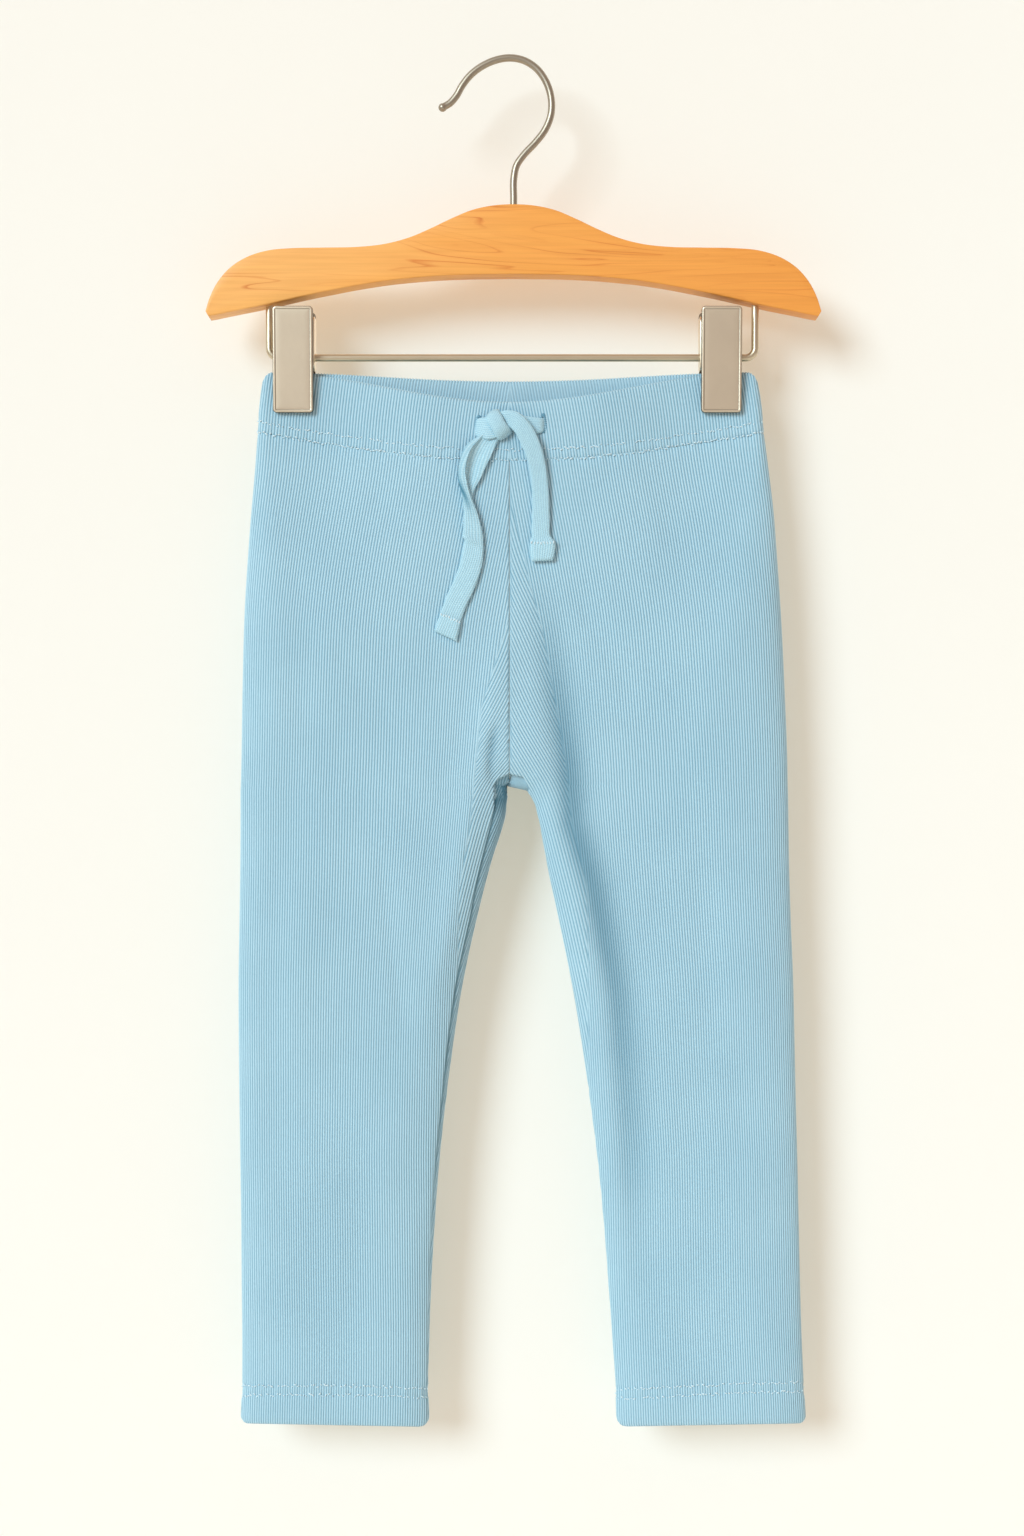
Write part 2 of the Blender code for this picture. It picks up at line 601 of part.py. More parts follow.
def tape(name, route):
    """A flat tape along a route that lies off the front of the cloth."""
    rows = spline_points(route, TAPE_SECTIONS[name])
    x, z = rows[:, 0] * MM, rows[:, 1] * MM
    left_face, _ = cloth_point("left", x, z, FRONT)
    right_face, _ = cloth_point("right", x, z, FRONT)
    front = np.where(x < SEAM_X, left_face[:, 1], right_face[:, 1])
    centre = np.stack([x, front - rows[:, 2] * MM, z], axis=1)
    run = np.gradient(centre, axis=0)
    run /= np.linalg.norm(run, axis=1, keepdims=True)
    toward = np.array([0.0, -1.0, 0.0])
    wide = np.cross(run, toward)
    wide /= np.linalg.norm(wide, axis=1, keepdims=True)
    out = np.cross(wide, run)
    turn = np.radians(rows[:, 3])[:, None]
    wide, out = (
        wide * np.cos(turn) + out * np.sin(turn),
        out * np.cos(turn) - wide * np.sin(turn),
    )
    half, edge = 0.5 * TAPE_W, 0.5 * TAPE_THICK
    shell = Shell()
    shell.loft([
        [c + w * half * a + o * edge * b for a, b in TAPE_PROFILE]
        for c, w, o in zip(centre, wide, out)
    ])
    return shell.mesh_object(name)


# ---------------------------------------------------------------- hanger
def bar_section(row, mirror):
    """Ring of twelve points round the bar, with eased edges, through one pair of edge points."""
    top = np.array([row.top_x * mirror, row.top_z]) * MM + (HANGER_X, 0.0)
    low = np.array([row.low_x * mirror, row.low_z]) * MM + (HANGER_X, 0.0)
    down = low - top
    length = np.hypot(*down)
    down = down / length
    ease = min(BAR_EDGE, TIP_EASE * length)
    half = 0.5 * BAR_THICK
    ring = []
    for corner_y, corner_along in ((-1, 0), (-1, 1), (1, 1), (1, 0)):
        for turn in (0.0, 45.0, 90.0):
            if corner_y * (1 if corner_along else -1) > 0:
                turn = 90.0 - turn
            across = math.cos(math.radians(turn))
            along = math.sin(math.radians(turn))
            y = corner_y * (half - ease + ease * across)
            reach = ease - ease * along if corner_along == 0 else length - ease + ease * along
            place = top + down * reach
            ring.append((place[0], y, place[1]))
    return ring


def hanger_bar():
    """A shaped wooden bar with eased edges, bored for the hook and for both ends of the rod."""
    shell = Shell()
    left = [bar_section(row, -1) for row in BAR_ROWS[:0:-1]]
    shell.loft(left + [bar_section(row, 1) for row in BAR_ROWS])
    obj = shell.mesh_object("hanger_bar")
    bores = [
        ("bore_hook", SHAFT_X, WIRE_R + GAP, SHAFT_END_Z - GAP, BORE_TOP_Z),
        ("bore_rod_left", ROD_X - ROD_HALF, ROD_R + GAP, BORE_FOOT_Z, ROD_TOP_Z + GAP),
        ("bore_rod_right", ROD_X + ROD_HALF, ROD_R + GAP, BORE_FOOT_Z, ROD_TOP_Z + GAP),
    ]
    for name, x, radius, low, high in bores:
        boolean(obj, round_cutter(name, x, radius, low, high), "DIFFERENCE")
    return obj


def round_cutter(name, x, radius, low, high, sides=12, axis="Z"):
    """A cylinder that only cuts. Axis Z stands at x from low to high."""
    mesh = bpy.data.meshes.new(name)
    shape = bmesh.new()
    bmesh.ops.create_cone(
        shape, cap_ends=True, segments=sides, radius1=radius, radius2=radius, depth=high - low
    )
    shape.to_mesh(mesh)
    shape.free()
    obj = bpy.data.objects.new(name, mesh)
    bpy.context.scene.collection.objects.link(obj)
    obj.location = (x, 0.0, 0.5 * (low + high))
    if axis == "X":
        obj.location = (0.5 * (low + high), 0.0, x)
        obj.rotation_euler = (0.0, 0.5 * math.pi, 0.0)
    obj.hide_render = True
    obj.display_type = "WIRE"
    return obj


def wire(name, points, radii, radius):
    """A round wire along a list of points, each with its share of the radius."""
    data = bpy.data.curves.new(name, "CURVE")
    data.dimensions = "3D"
    data.bevel_depth = radius
    data.bevel_resolution = WIRE_ROUNDING
    data.use_fill_caps = True
    spline = data.splines.new("POLY")
    spline.points.add(len(points) - 1)
    for place, point, share in zip(spline.points, points, radii):
        place.co = (*point, 1.0)
        place.radius = share
    spline.use_smooth = True
    obj = bpy.data.objects.new(name, data)
    bpy.context.scene.collection.objects.link(obj)
    return obj


def hanger_hook():
    """The wire hook: a straight shaft from the bar, an open round crown and a swollen tip."""
    route = spline_points(HOOK_ROUTE, HOOK_POINTS)
    points = [(x * MM, 0.0, z * MM) for x, z, _ in route]
    return wire("hanger_hook", points, route[:, 2], WIRE_R)


def clip_rod():
    """One wire bent into a U: both ends go up into the bar."""
    bend = [
        (ROD_HALF - ROD_BEND + ROD_BEND * math.sin(a), ROD_Z + ROD_BEND - ROD_BEND * math.cos(a))
        for a in np.linspace(0.0, 0.5 * math.pi, BEND_POINTS)
    ]
    right = bend + [(ROD_HALF, ROD_TOP_Z)]
    left = [(-x, z) for x, z in reversed(right)]
    points = [(ROD_X + x, 0.0, z) for x, z in left + right]
    return wire("clip_rod", points, [1.0] * len(points), ROD_R)


def rounded_slab(shape, width, low, high, near, far, corner):
    """A slab with rounded corners in the front view, added to a bmesh."""
    centres = [
        (0.5 * width - corner, high - corner, 0.0), (-0.5 * width + corner, high - corner, 90.0),
        (-0.5 * width + corner, low + corner, 180.0), (0.5 * width - corner, low + corner, 270.0),
    ]
    ring = []
    for x, z, start in centres:
        for turn in (0.0, 45.0, 90.0):
            angle = math.radians(start + turn)
            place = (x + corner * math.cos(angle), near, z + corner * math.sin(angle))
            ring.append(shape.verts.new(place))
    face = shape.faces.new(ring)
    made = bmesh.ops.extrude_face_region(shape, geom=[face])
    moved = [v for v in made["geom"] if isinstance(v, bmesh.types.BMVert)]
    bmesh.ops.translate(shape, verts=moved, vec=(0.0, far - near, 0.0))
    bmesh.ops.recalc_face_normals(shape, faces=shape.faces)


def slab_object(name, *sizes, cutter=False):
    mesh = bpy.data.meshes.new(name)
    shape = bmesh.new()
    rounded_slab(shape, *sizes)
    shape.to_mesh(mesh)
    shape.free()
    obj = bpy.data.objects.new(name, mesh)
    bpy.context.scene.collection.objects.link(obj)
    if cutter:
        obj.hide_render = True
        obj.display_type = "WIRE"
    return obj


def boolean(obj, other, operation):
    step = obj.modifiers.new(other.name, "BOOLEAN")
    step.operation = operation
    step.object = other


def clip_jaw(side, facing):
    """A pressed steel jaw: a plate with its rim turned in, leaning in to grip the waistband.

    Its own frame has the foot of the plate's grip at the origin. The back jaw also carries the
    two cheeks that the rod runs through.
    """
    name = "clip_{}_{}".format(side, "front" if facing == FRONT else "back")
    height = CLIP_TOP_Z - CLIP_BOTTOM_Z
    jaw = slab_object(name, CLIP_W, 0.0, height, 0.0, facing * CLIP_RIM, CLIP_CORNER)
    hollow = slab_object(
        name + "_hollow", CLIP_W - 2 * CLIP_SHEET, CLIP_SHEET, height - CLIP_SHEET,
        -facing * CLIP_RIM, facing * (CLIP_RIM - CLIP_SHEET), CLIP_CORNER - 0.5 * CLIP_SHEET,
        cutter=True,
    )
    hollow.parent = jaw
    boolean(jaw, hollow, "DIFFERENCE")
    grip = PINCH_HALF + BAND_PROUD + 0.5 * RIB_RISE + GAP
    jaw.location = (CLIP_CENTRES[side], facing * grip, CLIP_BOTTOM_Z)
    jaw.rotation_euler = (-facing * CLIP_LEAN, 0.0, 0.0)
    if facing == BACK:
        add_cheeks(jaw, side, grip)
    return jaw


def add_cheeks(jaw, side, grip):
    """Two side cheeks joined to the back jaw, each with a round hole for the rod."""
    centre = CLIP_CENTRES[side]
    inward = 1 if centre < 0 else -1
    for end, offset in (("inner", CHEEK_INNER), ("outer", -CHEEK_OUTER)):
        cheek = slab_object(
            "{}_cheek_{}".format(jaw.name, end), CHEEK_DEEP, CHEEK_BOTTOM_Z, CHEEK_TOP_Z,
            -0.5 * CLIP_SHEET, 0.5 * CLIP_SHEET, CHEEK_CORNER, cutter=True,
        )
        cheek.rotation_euler = (0.0, 0.0, 0.5 * math.pi)
        cheek.location = (centre + inward * offset, 0.5 * CHEEK_DEEP - grip, 0.0)
        boolean(jaw, cheek, "UNION")
    bore = round_cutter(
        jaw.name + "_bore", ROD_Z, ROD_R + GAP,
        centre - CHEEK_BORE_REACH, centre + CHEEK_BORE_REACH, axis="X",
    )
    boolean(jaw, bore, "DIFFERENCE")


# ---------------------------------------------------------------- finishes
def material(name, colour, roughness, metallic=0.0):
    mat = bpy.data.materials.new(name)
    mat.use_nodes = True
    shader = mat.node_tree.nodes["Principled BSDF"]
    shader.inputs["Base Color"].default_value = (*colour, 1.0)
    shader.inputs["Roughness"].default_value = roughness
    shader.inputs["Metallic"].default_value = metallic
    mat.diffuse_color = (*colour, 1.0)
    return mat


def main():
    for obj in list(bpy.data.objects):
        bpy.data.objects.remove(obj, do_unlink=True)
    knit = material("rib_knit", (0.39, 0.62, 0.72), 0.85)
    tape_knit = material("tape_knit", (0.43, 0.70, 0.79), 0.85)
    wood = material("stained_wood", (0.80, 0.43, 0.14), 0.4)
    steel = material("satin_nickel", (0.62, 0.57, 0.49), 0.32, 1.0)
    made = {
        knit: [leg("left"), leg("right"), waistband()],
        tape_knit: [
            tape("drawstring_left", LEFT_TAIL),
            tape("drawstring_right", RIGHT_TAIL),
            tape("drawstring_knot", KNOT_WRAP),
        ],
        wood: [hanger_bar()],
        steel: [hanger_hook(), clip_rod()]
        + [clip_jaw(side, facing) for side in CLIP_CENTRES for facing in (FRONT, BACK)],
    }
    for finish, pieces in made.items():
        for obj in pieces:
            obj.data.materials.append(finish)


main()
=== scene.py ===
"""Looks of the toddler's rib knit pyjama trousers on their clip hanger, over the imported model.

Metres, +Z up, +X to the viewer's right and -Y towards the viewer, in the part's own frame. The
tables are in millimetres. The form of the cloth is the one that the part's source gives its
solids, here with every rib, crease and stitch.
"""

import math
from collections import namedtuple

import bmesh
import bpy
import numpy as np
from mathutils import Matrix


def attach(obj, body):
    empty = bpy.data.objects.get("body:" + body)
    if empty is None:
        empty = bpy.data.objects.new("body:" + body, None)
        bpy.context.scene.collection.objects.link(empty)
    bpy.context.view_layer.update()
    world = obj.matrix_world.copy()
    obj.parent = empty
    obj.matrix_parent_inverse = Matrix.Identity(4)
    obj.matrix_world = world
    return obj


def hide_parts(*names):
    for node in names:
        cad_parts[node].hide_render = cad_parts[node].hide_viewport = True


MM = 0.001
FRONT, BACK = -1, 1  # the way a face of the cloth looks along Y
SIDES = ("left", "right")
rng = np.random.default_rng(7)

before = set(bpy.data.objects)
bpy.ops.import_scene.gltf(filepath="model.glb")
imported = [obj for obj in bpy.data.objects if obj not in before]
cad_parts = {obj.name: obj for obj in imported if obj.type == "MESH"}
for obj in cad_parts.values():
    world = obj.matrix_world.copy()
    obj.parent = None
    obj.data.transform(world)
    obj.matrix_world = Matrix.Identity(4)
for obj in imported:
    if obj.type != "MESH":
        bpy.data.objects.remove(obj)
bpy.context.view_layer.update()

# -------- camera
EYE = np.array([1.37, -1100.0, -322.7]) * MM


def make_camera():
    data = bpy.data.cameras.new("camera")
    data.sensor_fit = "VERTICAL"
    data.sensor_height = 36.0
    data.lens = 56.44
    obj = bpy.data.objects.new("camera", data)
    obj.location = EYE
    obj.rotation_euler = (0.5 * math.pi, 0.0, 0.0)
    bpy.context.scene.collection.objects.link(obj)
    bpy.context.scene.camera = obj


make_camera()

# -------- sizes of the cloth
SEAM_X = 0.3 * MM
RIB_PITCH = 1.35 * MM
RIB_RISE = 0.44 * MM  # from a valley to a crest
BAND_TOP_Z = -141.9 * MM
BAND_SEAM_Z = -169.2 * MM
FRONT_TOP_DIP = 13.6 * MM
BACK_TOP_DIP = 3.6 * MM
FRONT_SEAM_DIP = 12.8 * MM
BACK_SEAM_DIP = 3.0 * MM
CORNER_R = 5.0 * MM
CORNER_DROP = 4.0 * MM
CROTCH_Z = -331.0 * MM
HEM_Z = -622.9 * MM
PINCH_HALF = 2.75 * MM
PINCH_FROM = 25.0 * MM
PINCH_TO = 82.0 * MM
PINCH_TOP_Z = -172.0 * MM
PINCH_END_Z = -262.0 * MM
HEM_CORNER = 2.2 * MM  # rounded lower corners of the hems, outer and inner
HEM_INNER_CORNER = 3.6 * MM
HEM_CORNER_Z = -612.0 * MM

OutlineRow = namedtuple("OutlineRow", "z left_outer left_inner right_inner right_outer")
OUTLINE = [OutlineRow(*row) for row in (
    (-141.9, -112.3, 0.3, 0.3, 113.2),
    (-155, -113.6, 0.3, 0.3, 114.9),
    (-169.5, -114.6, 0.3, 0.3, 116.3),
    (-186.6, -115.8, 0.3, 0.3, 118.4),
    (-204.9, -117.4, 0.3, 0.3, 120.6),
    (-223.1, -118.8, 0.3, 0.3, 122),
    (-250.6, -120.5, 0.3, 0.3, 123.9),
    (-287.1, -121.5, 0.3, 0.3, 125.7),
    (-323.6, -122.1, 0.3, 0.3, 127),
    (-331, -122.3, 0.8, 0.8, 127.1),
    (-333.5, -122.4, 0.6, 7.4, 127.2),
    (-337.4, -122.4, -0.1, 11, 127.3),
    (-344.2, -122.4, -1.6, 13.1, 127.4),
    (-364.8, -122.5, -7.9, 17.1, 127.7),
    (-392.2, -122.9, -15, 22.9, 128.5),
    (-419.6, -123.3, -20.9, 28.4, 129.6),
    (-447, -123.2, -25.3, 33.2, 130.2),
    (-474.4, -122.9, -28.9, 37.1, 130.8),
    (-501.8, -122.5, -31.8, 40.6, 131.5),
    (-529.2, -122.1, -33.9, 43.3, 132.1),
    (-556.6, -121.9, -35.5, 45.4, 132.7),
    (-584, -121.6, -36.5, 47.4, 133.5),
    (-606, -121.7, -37, 48.8, 134.5),
    (-622.9, -122.1, -36.7, 49.3, 135.2),
)]

DepthRow = namedtuple("DepthRow", "z front back outer_round inner_round forward")
DEPTHS = [DepthRow(*row) for row in (
    (-141.9, 9.6, 5.2, 3.2, 16, 0),
    (-155, 10.2, 5.6, 3.2, 16, 0),
    (-172, 10.4, 6.4, 3.6, 16, 0),
    (-205, 10.2, 8.2, 12, 16, 0.2),
    (-250.6, 10, 9.6, 26, 16, 0.4),
    (-287.1, 9.8, 9.8, 32, 16, 0.5),
    (-331, 9.4, 9.4, 34, 17, 0.6),
    (-392.2, 8.8, 8.8, 32, 22, 0.6),
    (-474.4, 8, 8, 30, 26, 0.4),
    (-556.6, 7.4, 7.4, 30, 28, 0.2),
    (-622.9, 7.4, 7.2, 32, 30, 0),
)]
FOLD_FADE_FROM = 0.3
FOLD_FADE_TO = 0.9

# Soft folds: the line of each seen from the front, its half width to the left and to the right
# of that line, how deep it is (a ridge is negative), the face that it is on and how much
# painted shade the cloth in it gets.
Fold = namedtuple("Fold", "line left right depth side shade", defaults=(0,))
FOLDS = [Fold(*row) for row in (
    ([(6, -212), (9.6, -232.3), (16, -259.7), (26, -319.1), (28.3, -348.3),
      (38.4, -378), (49.3, -427.3), (54.4, -481.7), (58, -540.6), (64, -590)],
     7, 12, 2.4, FRONT, 0.62),
    ([(-1.4, -245), (-7, -290), (-16, -328.7), (-23.3, -383), (-38.4, -444.7)],
     7, 7, -1.5, FRONT),
    ([(-6.4, -300), (-8, -311), (-8.8, -320), (-8, -327), (-6.8, -333)],
     1.6, 2.6, 0.9, FRONT, 0.5),
    ([(12, -318), (12.6, -338), (19, -362), (27, -392)], 4, 4, -0.7, FRONT),
    ([(-102.3, -185.7), (-96.4, -254.7), (-95, -314.1), (-107, -383),
      (-109, -432.4), (-106, -506.4), (-97.3, -560)], 9, 9, 1, FRONT),
    ([(-60.3, -345), (-54, -400), (-46, -455)], 4, 6, 0.6, FRONT),
    ([(28.3, -236), (43, -266), (60, -297)], 5, 8, 0.7, FRONT),
    ([(-84, -264), (-66, -286), (-46, -306)], 6, 6, 0.5, FRONT),
    ([(-64, -194), (-49, -213)], 5, 5, 0.5, FRONT),
    ([(71, -196), (74, -222)], 6, 7, 0.5, FRONT),
    ([(86, -350), (89, -400), (92, -462)], 6, 8, 0.45, FRONT),
    ([(104, -440), (106, -510)], 7, 7, 0.4, FRONT),
    ([(-74, -470), (-70, -530), (-72, -590)], 7, 9, 0.4, FRONT),
    ([(14, -240), (24, -320), (36, -410), (44, -500)], 10, 8, 1.2, BACK),
    ([(-12, -235), (-22, -320), (-34, -420), (-40, -520)],
     8, 11, 1.3, BACK),
    ([(-98, -215), (-93, -320), (-96, -430)], 10, 8, 0.9, BACK),
    ([(104, -240), (107, -350), (109, -480)], 8, 10, 0.9, BACK),
    ([(-60, -250), (-40, -290)], 6, 7, 0.6, BACK),
    ([(62, -230), (40, -275)], 7, 6, 0.6, BACK),
    ([(0.8, -145), (0.6, -176), (0.3, -214)], 4, 5, 0.7, BACK),
    ([(80, -400), (78, -520)], 7, 8, 0.5, BACK),
    ([(-76, -450), (-80, -570)], 7, 8, 0.5, BACK),
)]

# Low uneven swells all over the cloth: wave numbers across and down per metre, phase, height.
Swell = namedtuple("Swell", "across down phase height")
SWELLS = [Swell(*row) for row in (
    (92, 31, 0.4, 0.13), (-61, 54, 2.1, 0.14), (148, -22, 4, 0.09),
    (203, 47, 1.3, 0.06), (33, -78, 5.2, 0.12), (-255, 88, 3.3, 0.04),
    (310, -64, 0.9, 0.03),
)]

# -------- how the ribs run
# The ribs beside the centre seams run outwards as they go down, in a wedge between the seam and
# a line across the leg. Height and place of that line, then height and slant in degrees.
WEDGE_LINE = {
    "left": [(-255, 0.1), (-264, -3.2), (-296, -13), (-330, -16), (-350, -18),
             (-378, -23), (-440, -24)],
    "right": [(-200, 0.4), (-225, 7), (-240, 10), (-262, 16), (-319, 26),
              (-348, 29), (-378, 36), (-470, 36.5)],
}
WEDGE_SLANT = {
    "left": [(-241, 5), (-255, 10), (-269, 21), (-282, 26), (-296, 29),
             (-310, 36), (-326, 40), (-335, 26), (-350, 16), (-385, 14),
             (-440, 11), (-470, 9)],
    "right": [(-190, 8), (-214, 11), (-228, 18), (-241, 23), (-282, 23),
              (-296, 26), (-310, 31), (-326, 32), (-335, 22), (-350, 16),
              (-380, 14), (-430, 12), (-480, 9)],
}
WEDGE_DENSER = 0.9  # a slanted rib is wider along the row
# Slant of the other ribs against the outer fold.
MAIN_SLANT = {
    "left": [(-170, 5), (-220, 4), (-260, 2), (-350, 1), (-450, 0)],
    "right": [(-170, 3), (-230, 3), (-300, 2.5), (-400, 1.5), (-500, 0)],
}
MAIN_REACH = 40 * MM
# More slant beside the wedge, which fades towards the outer fold over this reach.
NEAR_SLANT = [(-215, 1.5), (-250, 4), (-331, 6.5), (-370, 3), (-410, 0)]
NEAR_REACH = [(-331, 30), (-500, 70)]
# The inseam shows on the front of the left leg and on the back of the right one: height and
# distance from the leg's inner edge, then the slant of the ribs beyond it.
INSEAM = [(-331, 7.1), (-338.6, 5.5), (-350, 5.1), (-364, 4.2), (-380, 3.4), (-392, 2.6),
          (-426, 2.5), (-447, 2.1), (-474, 1.4), (-510, 1.3), (-540, 1.2), (-564, 0.9),
          (-622.9, 0.5)]
INSEAM_SLANT = [(-331, 26), (-392, 24), (-450, 18), (-622.9, 10)]
INSEAM_FACE = {"left": FRONT, "right": BACK}
INSEAM_GROOVE = 0.7 * MM
INSEAM_DROP = 0.55 * MM  # the strip beyond the inseam lies this much lower
INSEAM_HALF = 0.6 * MM
INSEAM_FADE_FROM_Z = CROTCH_Z - 120 * MM
INSEAM_FADE_OVER = 110 * MM
INSEAM_SHADE_OVER = 60 * MM  # the strip gets more painted shade this far below the crotch
SEAM_GROOVE = 0.25 * MM  # centre front and back
SEAM_HALF = 0.5 * MM
# painted shade along the centre seams
SEAM_SHADE = 0.2
# Edge of the cloth over the crotch, where the recessed back shows below it.
CROTCH_EDGE = [(-6.5, -329.5), (-5.5, -327.8), (-0.5, -325.5), (6.4, -326.8), (8.6, -331)]
CROTCH_SINK = {"left": 1.1 * MM, "right": 2 * MM}
CROTCH_SOFT = 1.1 * MM  # how soon it sinks below the edge
CROTCH_SINK_REACH = 16 * MM
CROTCH_SINK_FADE = 13 * MM
# painted shade in the recess below the crotch edge
CROTCH_SHADE = 0.5

STEP = 0.25 * RIB_PITCH
RIB_PROFILE = np.array([1.0, 0.3, -1.0, 0.3])
# Painted shade across a rib, from its crest (1) to its valley (0), where it takes the darker
# colour.
RIB_SHADE = np.array([1.0, 0.72, 0.0, 0.72])
RIB_FADE = 0.5 * MM  # the ribs die away this close to an edge of a stretch
EDGE_CLEAR = 0.4
SECTION_SAMPLES = 321
EDGE_SAMPLES = 240
EDGE_FOOT_Z = HEM_Z - 30.0 * MM
SLOPE_STEP = 0.4 * MM
NARROWEST = 0.5 * MM

STITCH_LONG = 1.7 * MM
STITCH_STEP = 1.5 * MM
STITCH_R = 0.3 * MM
STITCH_SKIPPED = 0.12  # share of the stitches that sink into the knit
HEM_ROWS = (2.1, -2.1)  # rows of stitches in mm over the middle line above the hem
WAIST_ROWS = (0.0, 4.7)  # and over the waist seam
FURROW_HALF = 0.9 * MM  # half width of the furrow along a row of stitches
HEM_FURROW = 0.22 * MM  # its depth
WAIST_FURROW = 0.2 * MM
# Puckers beside the stitches: wave length in mm, phase and share of their depth.
PUCKER_WAVES = ((0.62, 1.0, 0.35), (1.13, 0.0, 0.4), (2.3, 2.0, 0.45))
PUCKER_DEPTH = 0.24 * MM
PUCKER_HALF = 3.2 * MM
# A stitch along its length: place and share of its radius.
THREAD_PROFILE = ((-0.5, 0.25), (-0.4, 0.8), (-0.15, 1.0), (0.15, 1.0), (0.4, 0.8), (0.5, 0.25))
THREAD_SIDES = 6


# -------- curves and tables
def smooth_curve(keys, values, at):
    """Values at `at` on a smooth curve through the rows of a table, keys rising."""
    keys, values, at = (np.asarray(a, float) for a in (keys, values, at))
    slopes = np.gradient(values, keys)
    i = np.clip(np.searchsorted(keys, at) - 1, 0, len(keys) - 2)
    span = keys[i + 1] - keys[i]
    t = np.clip((at - keys[i]) / span, 0.0, 1.0)
    return (
        values[i] * (1 + 2 * t) * (1 - t) ** 2
        + values[i + 1] * t * t * (3 - 2 * t)
        + slopes[i] * span * t * (1 - t) ** 2
        - slopes[i + 1] * span * t * t * (1 - t)
    )


def column(table, name, z):
    """One named column of a table in millimetres, at the height z in metres."""
    rows = table[::-1]
    keys = [row.z for row in rows]
    return MM * smooth_curve(keys, [getattr(row, name) for row in rows], np.asarray(z) / MM)


def table_at(pairs, z):
    """A table of heights, falling, and values in millimetres, at the height z in metres."""
    keys, values = zip(*pairs[::-1])
    return np.interp(np.asarray(z) / MM, keys, values)


def slide(pairs, z):
    """How far ribs with a table of slants have moved outwards by the height z."""
    levels = np.arange(-150.0, -640.0, -1.0)
    steps = np.tan(np.radians(table_at(pairs, levels * MM)))
    steps[levels > pairs[0][0]] = 0.0
    moved = np.concatenate([[0.0], np.cumsum(0.5 * (steps[1:] + steps[:-1]))])
    return MM * np.interp(np.asarray(z) / MM, levels[::-1], moved[::-1])


def smoothstep(t):
    t = np.clip(t, 0.0, 1.0)
    return t * t * (3 - 2 * t)


def rounding(q):
    q = np.minimum(q, 1.0)
    return q * (2 - q)


def spline_points(route, count):
    """Evenly spaced points on a smooth curve through a route's own points."""
    route = np.asarray(route, float)
    steps = np.linalg.norm(np.diff(route[:, :2], axis=0), axis=1)
    along = np.concatenate([[0.0], np.cumsum(steps)])
    at = np.linspace(0.0, along[-1], count)
    return np.stack([smooth_curve(along, values, at) for values in route.T], axis=1)


def as_seen(points):
    """The photo gave the sizes in the plane of the hanger. What lies nearer shows larger there."""
    points = np.array(points, float)
    share = 1.0 + np.minimum(points[:, 1], 0.0) / abs(EYE[1])
    for axis in (0, 2):
        points[:, axis] = EYE[axis] + (points[:, axis] - EYE[axis]) * share
    return points


# -------- form of the cloth
def edge_samples(side):
    """Points along the inner edge of one leg, from the crotch down, closer near the crotch."""
    share = np.linspace(0.0, 1.0, EDGE_SAMPLES)
    z = CROTCH_Z + (EDGE_FOOT_Z - CROTCH_Z) * share**1.5
    return column(OUTLINE, side + "_inner", np.maximum(z, HEM_Z)), z


EDGES = {side: edge_samples(side) for side in SIDES}


def inner_distance(side, x, z):
    """How far a point seen from the front lies inside the leg's inner edge."""
    edge_x, edge_z = EDGES[side]
    nearest = np.hypot(np.subtract.outer(x, edge_x), np.subtract.outer(z, edge_z)).argmin(axis=-1)
    apart = np.full(nearest.shape, np.inf)
    for first in (nearest - 1, nearest):
        first = np.clip(first, 0, len(edge_x) - 2)
        x0, z0 = edge_x[first], edge_z[first]
        dx, dz = edge_x[first + 1] - x0, edge_z[first + 1] - z0
        t = np.clip(((x - x0) * dx + (z - z0) * dz) / (dx * dx + dz * dz), 0.0, 1.0)
        apart = np.minimum(apart, np.hypot(x - x0 - t * dx, z - z0 - t * dz))
    beyond = (x - column(OUTLINE, side + "_inner", z)) * (1 if side == "left" else -1)
    return np.where((z < CROTCH_Z) & (beyond > 0), -apart, apart)


def roundness(side, x, z):
    """Square of the cloth's share of its full depth, over the view from the front."""
    toward = 1 if side == "left" else -1
    outer = (x - column(OUTLINE, side + "_outer", z)) * toward
    from_outer = rounding(outer / column(DEPTHS, "outer_round", z))
    from_inner = rounding(inner_distance(side, x, z) / column(DEPTHS, "inner_round", z))
    return from_outer * from_inner


def full_depth(side, x, z, facing):
    """Half depth of the cloth where nothing rounds it off."""
    depth = column(DEPTHS, "front" if facing == FRONT else "back", z)
    outer = np.abs(x - column(OUTLINE, side + "_outer", z))
    pinch = smoothstep((z - PINCH_END_Z) / (PINCH_TOP_Z - PINCH_END_Z))
    pinch = pinch * (1 - smoothstep((outer - PINCH_FROM) / (PINCH_TO - PINCH_FROM)))
    return depth + (PINCH_HALF - depth) * pinch


def beside_line(line, x, z):
    """Distance from a line of points, plus on its right, and the share of the way along it."""
    line = np.asarray(line, float) * MM
    spans = np.diff(line, axis=0)
    lengths = np.linalg.norm(spans, axis=1)
    starts = np.concatenate([[0.0], np.cumsum(lengths)])
    best = np.full(np.broadcast(x, z).shape, np.inf)
    signed, share = best.copy(), best.copy()
    for (x0, z0), (dx, dz), length, start in zip(line, spans, lengths, starts):
        t = np.clip(((x - x0) * dx + (z - z0) * dz) / length**2, 0.0, 1.0)
        away = np.hypot(x - x0 - t * dx, z - z0 - t * dz)
        right = np.where((x - x0) * dz - (z - z0) * dx < 0, 1.0, -1.0)
        nearer = away < best
        best = np.where(nearer, away, best)
        signed = np.where(nearer, away * right, signed)
        share = np.where(nearer, (start + t * length) / starts[-1], share)
    return signed, share


